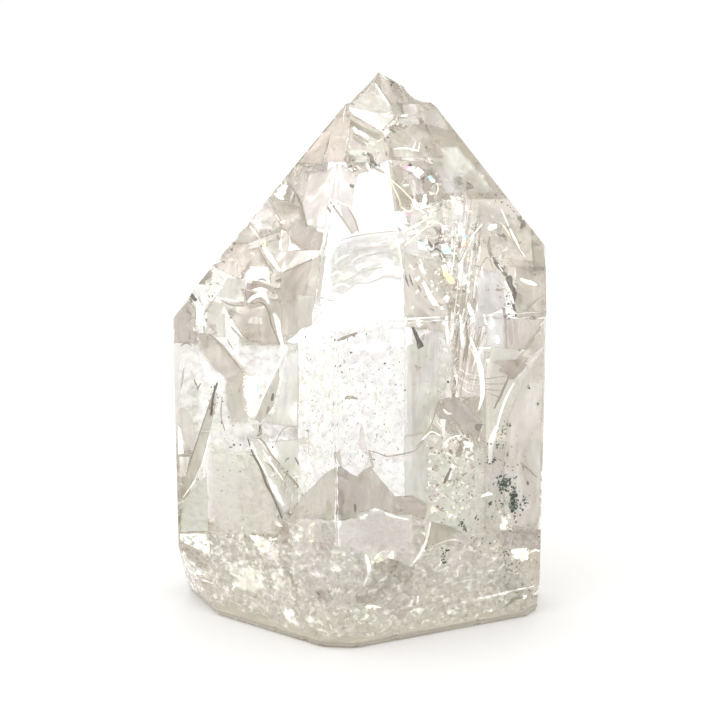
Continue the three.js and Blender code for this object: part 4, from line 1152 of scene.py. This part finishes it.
# Chlorite grains
# Dark green grains, each a lumpy pebble a fifth of a millimetre long, gathered in clumps at the right.
rng = np.random.default_rng(31)
clumps = [
    ([(498, 476, 1.5), (509, 477, 1.5), (509, 491, 1.5), (498, 490, 1.5)], 80, 0.17),
    ([(509, 485, 1.5), (517, 487, 1.5), (517, 515, 1.5), (509, 512, 1.5)], 76, 0.18),
    ([(492, 474, 1.5), (522, 476, 1.5), (522, 516, 1.5), (498, 514, 1.5)], 70, 0.11),
    ([(483, 458, 1.5), (500, 458, 1.5), (500, 465, 1.5), (483, 464, 1.5)], 26, 0.12),
    ([(498, 424, 1.5), (505, 424, 1.5), (505, 437, 1.5), (498, 437, 1.5)], 18, 0.12),
    ([(488, 439, 1.5), (502, 439, 1.5), (502, 450, 1.5), (488, 450, 1.5)], 22, 0.13),
    ([(521, 495, 1.5), (527, 495, 1.5), (527, 509, 1.5), (521, 509, 1.5)], 20, 0.13),
    ([(486, 499, 1.5), (495, 499, 1.5), (494, 509, 1.5), (487, 509, 1.5)], 8, 0.12),
    ([(459, 522, 2), (465, 522, 2), (465, 531, 2), (459, 531, 2)], 18, 0.14),
    ([(440, 549, 2), (447, 549, 2), (446, 565, 2), (440, 564, 2)], 22, 0.15),
    ([(497, 540, 1.5), (525, 540, 1.5), (522, 592, 1.5), (496, 590, 1.5)], 119, 0.11),
    ([(472, 536, 2), (486, 538, 2), (486, 546, 2), (472, 545, 2)], 14, 0.12),
    ([(444, 428, 2), (540, 420, 1.5), (536, 600, 1.5), (440, 600, 2)], 190, 0.08),
    ([(450, 612, 1), (470, 610, 1), (468, 622, 1), (450, 624, 1)], 10, 0.14),
] + [(spot_at(x, y, 1.5, 1.5), 5, 0.13) for x, y in (
    (502, 505), (476, 517), (537, 520), (528, 484), (523, 467), (538, 404), (528, 387), (510, 425),
    (507, 455))]
GATHERED_BELOW = 120
chosen = [patch_spots(corners, count, rng, thick=0.8, gather=count < GATHERED_BELOW)
          for corners, count, _ in clumps]
middles, gap = (np.concatenate(part) for part in zip(*chosen))
sizes = np.concatenate([np.full(len(one[0]), size) for one, (_, _, size) in zip(chosen, clumps)]) / 1000.0
sizes = np.minimum(sizes * rng.uniform(0.45, 1.25, len(sizes)), 0.7 * gap)
BELTS, SIDES = 3, 6
tilt = np.linspace(0.0, np.pi, BELTS + 2)[1:-1]
around = np.linspace(0.0, 2.0 * np.pi, SIDES, endpoint=False)
belts = np.stack([np.outer(np.sin(tilt), np.cos(around)), np.outer(np.sin(tilt), np.sin(around)),
                  np.outer(np.cos(tilt), np.ones(SIDES))], axis=-1).reshape(-1, 3)
pebble = np.vstack([[(0.0, 0.0, 1.0)], belts, [(0.0, 0.0, -1.0)]])
squeeze = rng.uniform(0.6, 1.2, (len(middles), 1, 3))
dents = rng.uniform(0.75, 1.15, (len(middles), len(pebble), 1))
grains = middles[:, None] + pebble[None] * squeeze * dents * sizes[:, None, None]
belt = 1 + np.arange(BELTS * SIDES).reshape(BELTS, SIDES)
after = np.roll(belt, -1, axis=1)
top, bottom = np.zeros(SIDES, int), np.full(SIDES, BELTS * SIDES + 1)
caps = np.vstack([np.stack([top, belt[0], after[0]], axis=-1),
                  np.stack([bottom, after[-1], belt[-1]], axis=-1)])
bands = np.stack([belt[:-1], belt[1:], after[1:], after[:-1]], axis=-1).reshape(-1, 4)
step_on = len(pebble) * np.arange(len(middles))[:, None, None]
grain_faces = (caps + step_on).reshape(-1, 3).tolist() + (bands + step_on).reshape(-1, 4).tolist()
chlorite = fleck_finish("chlorite", (0.015, 0.05, 0.018), (0.09, 0.18, 0.07), 0.0)
add_piece(new_mesh("chlorite_grains", grains, grain_faces), chlorite)

# How the picture is worked out
cycles = bpy.context.scene.cycles
cycles.max_bounces = 32
cycles.transmission_bounces = 24
cycles.glossy_bounces = 16
cycles.transparent_max_bounces = 32
bpy.context.scene.view_settings.view_transform = "Standard"
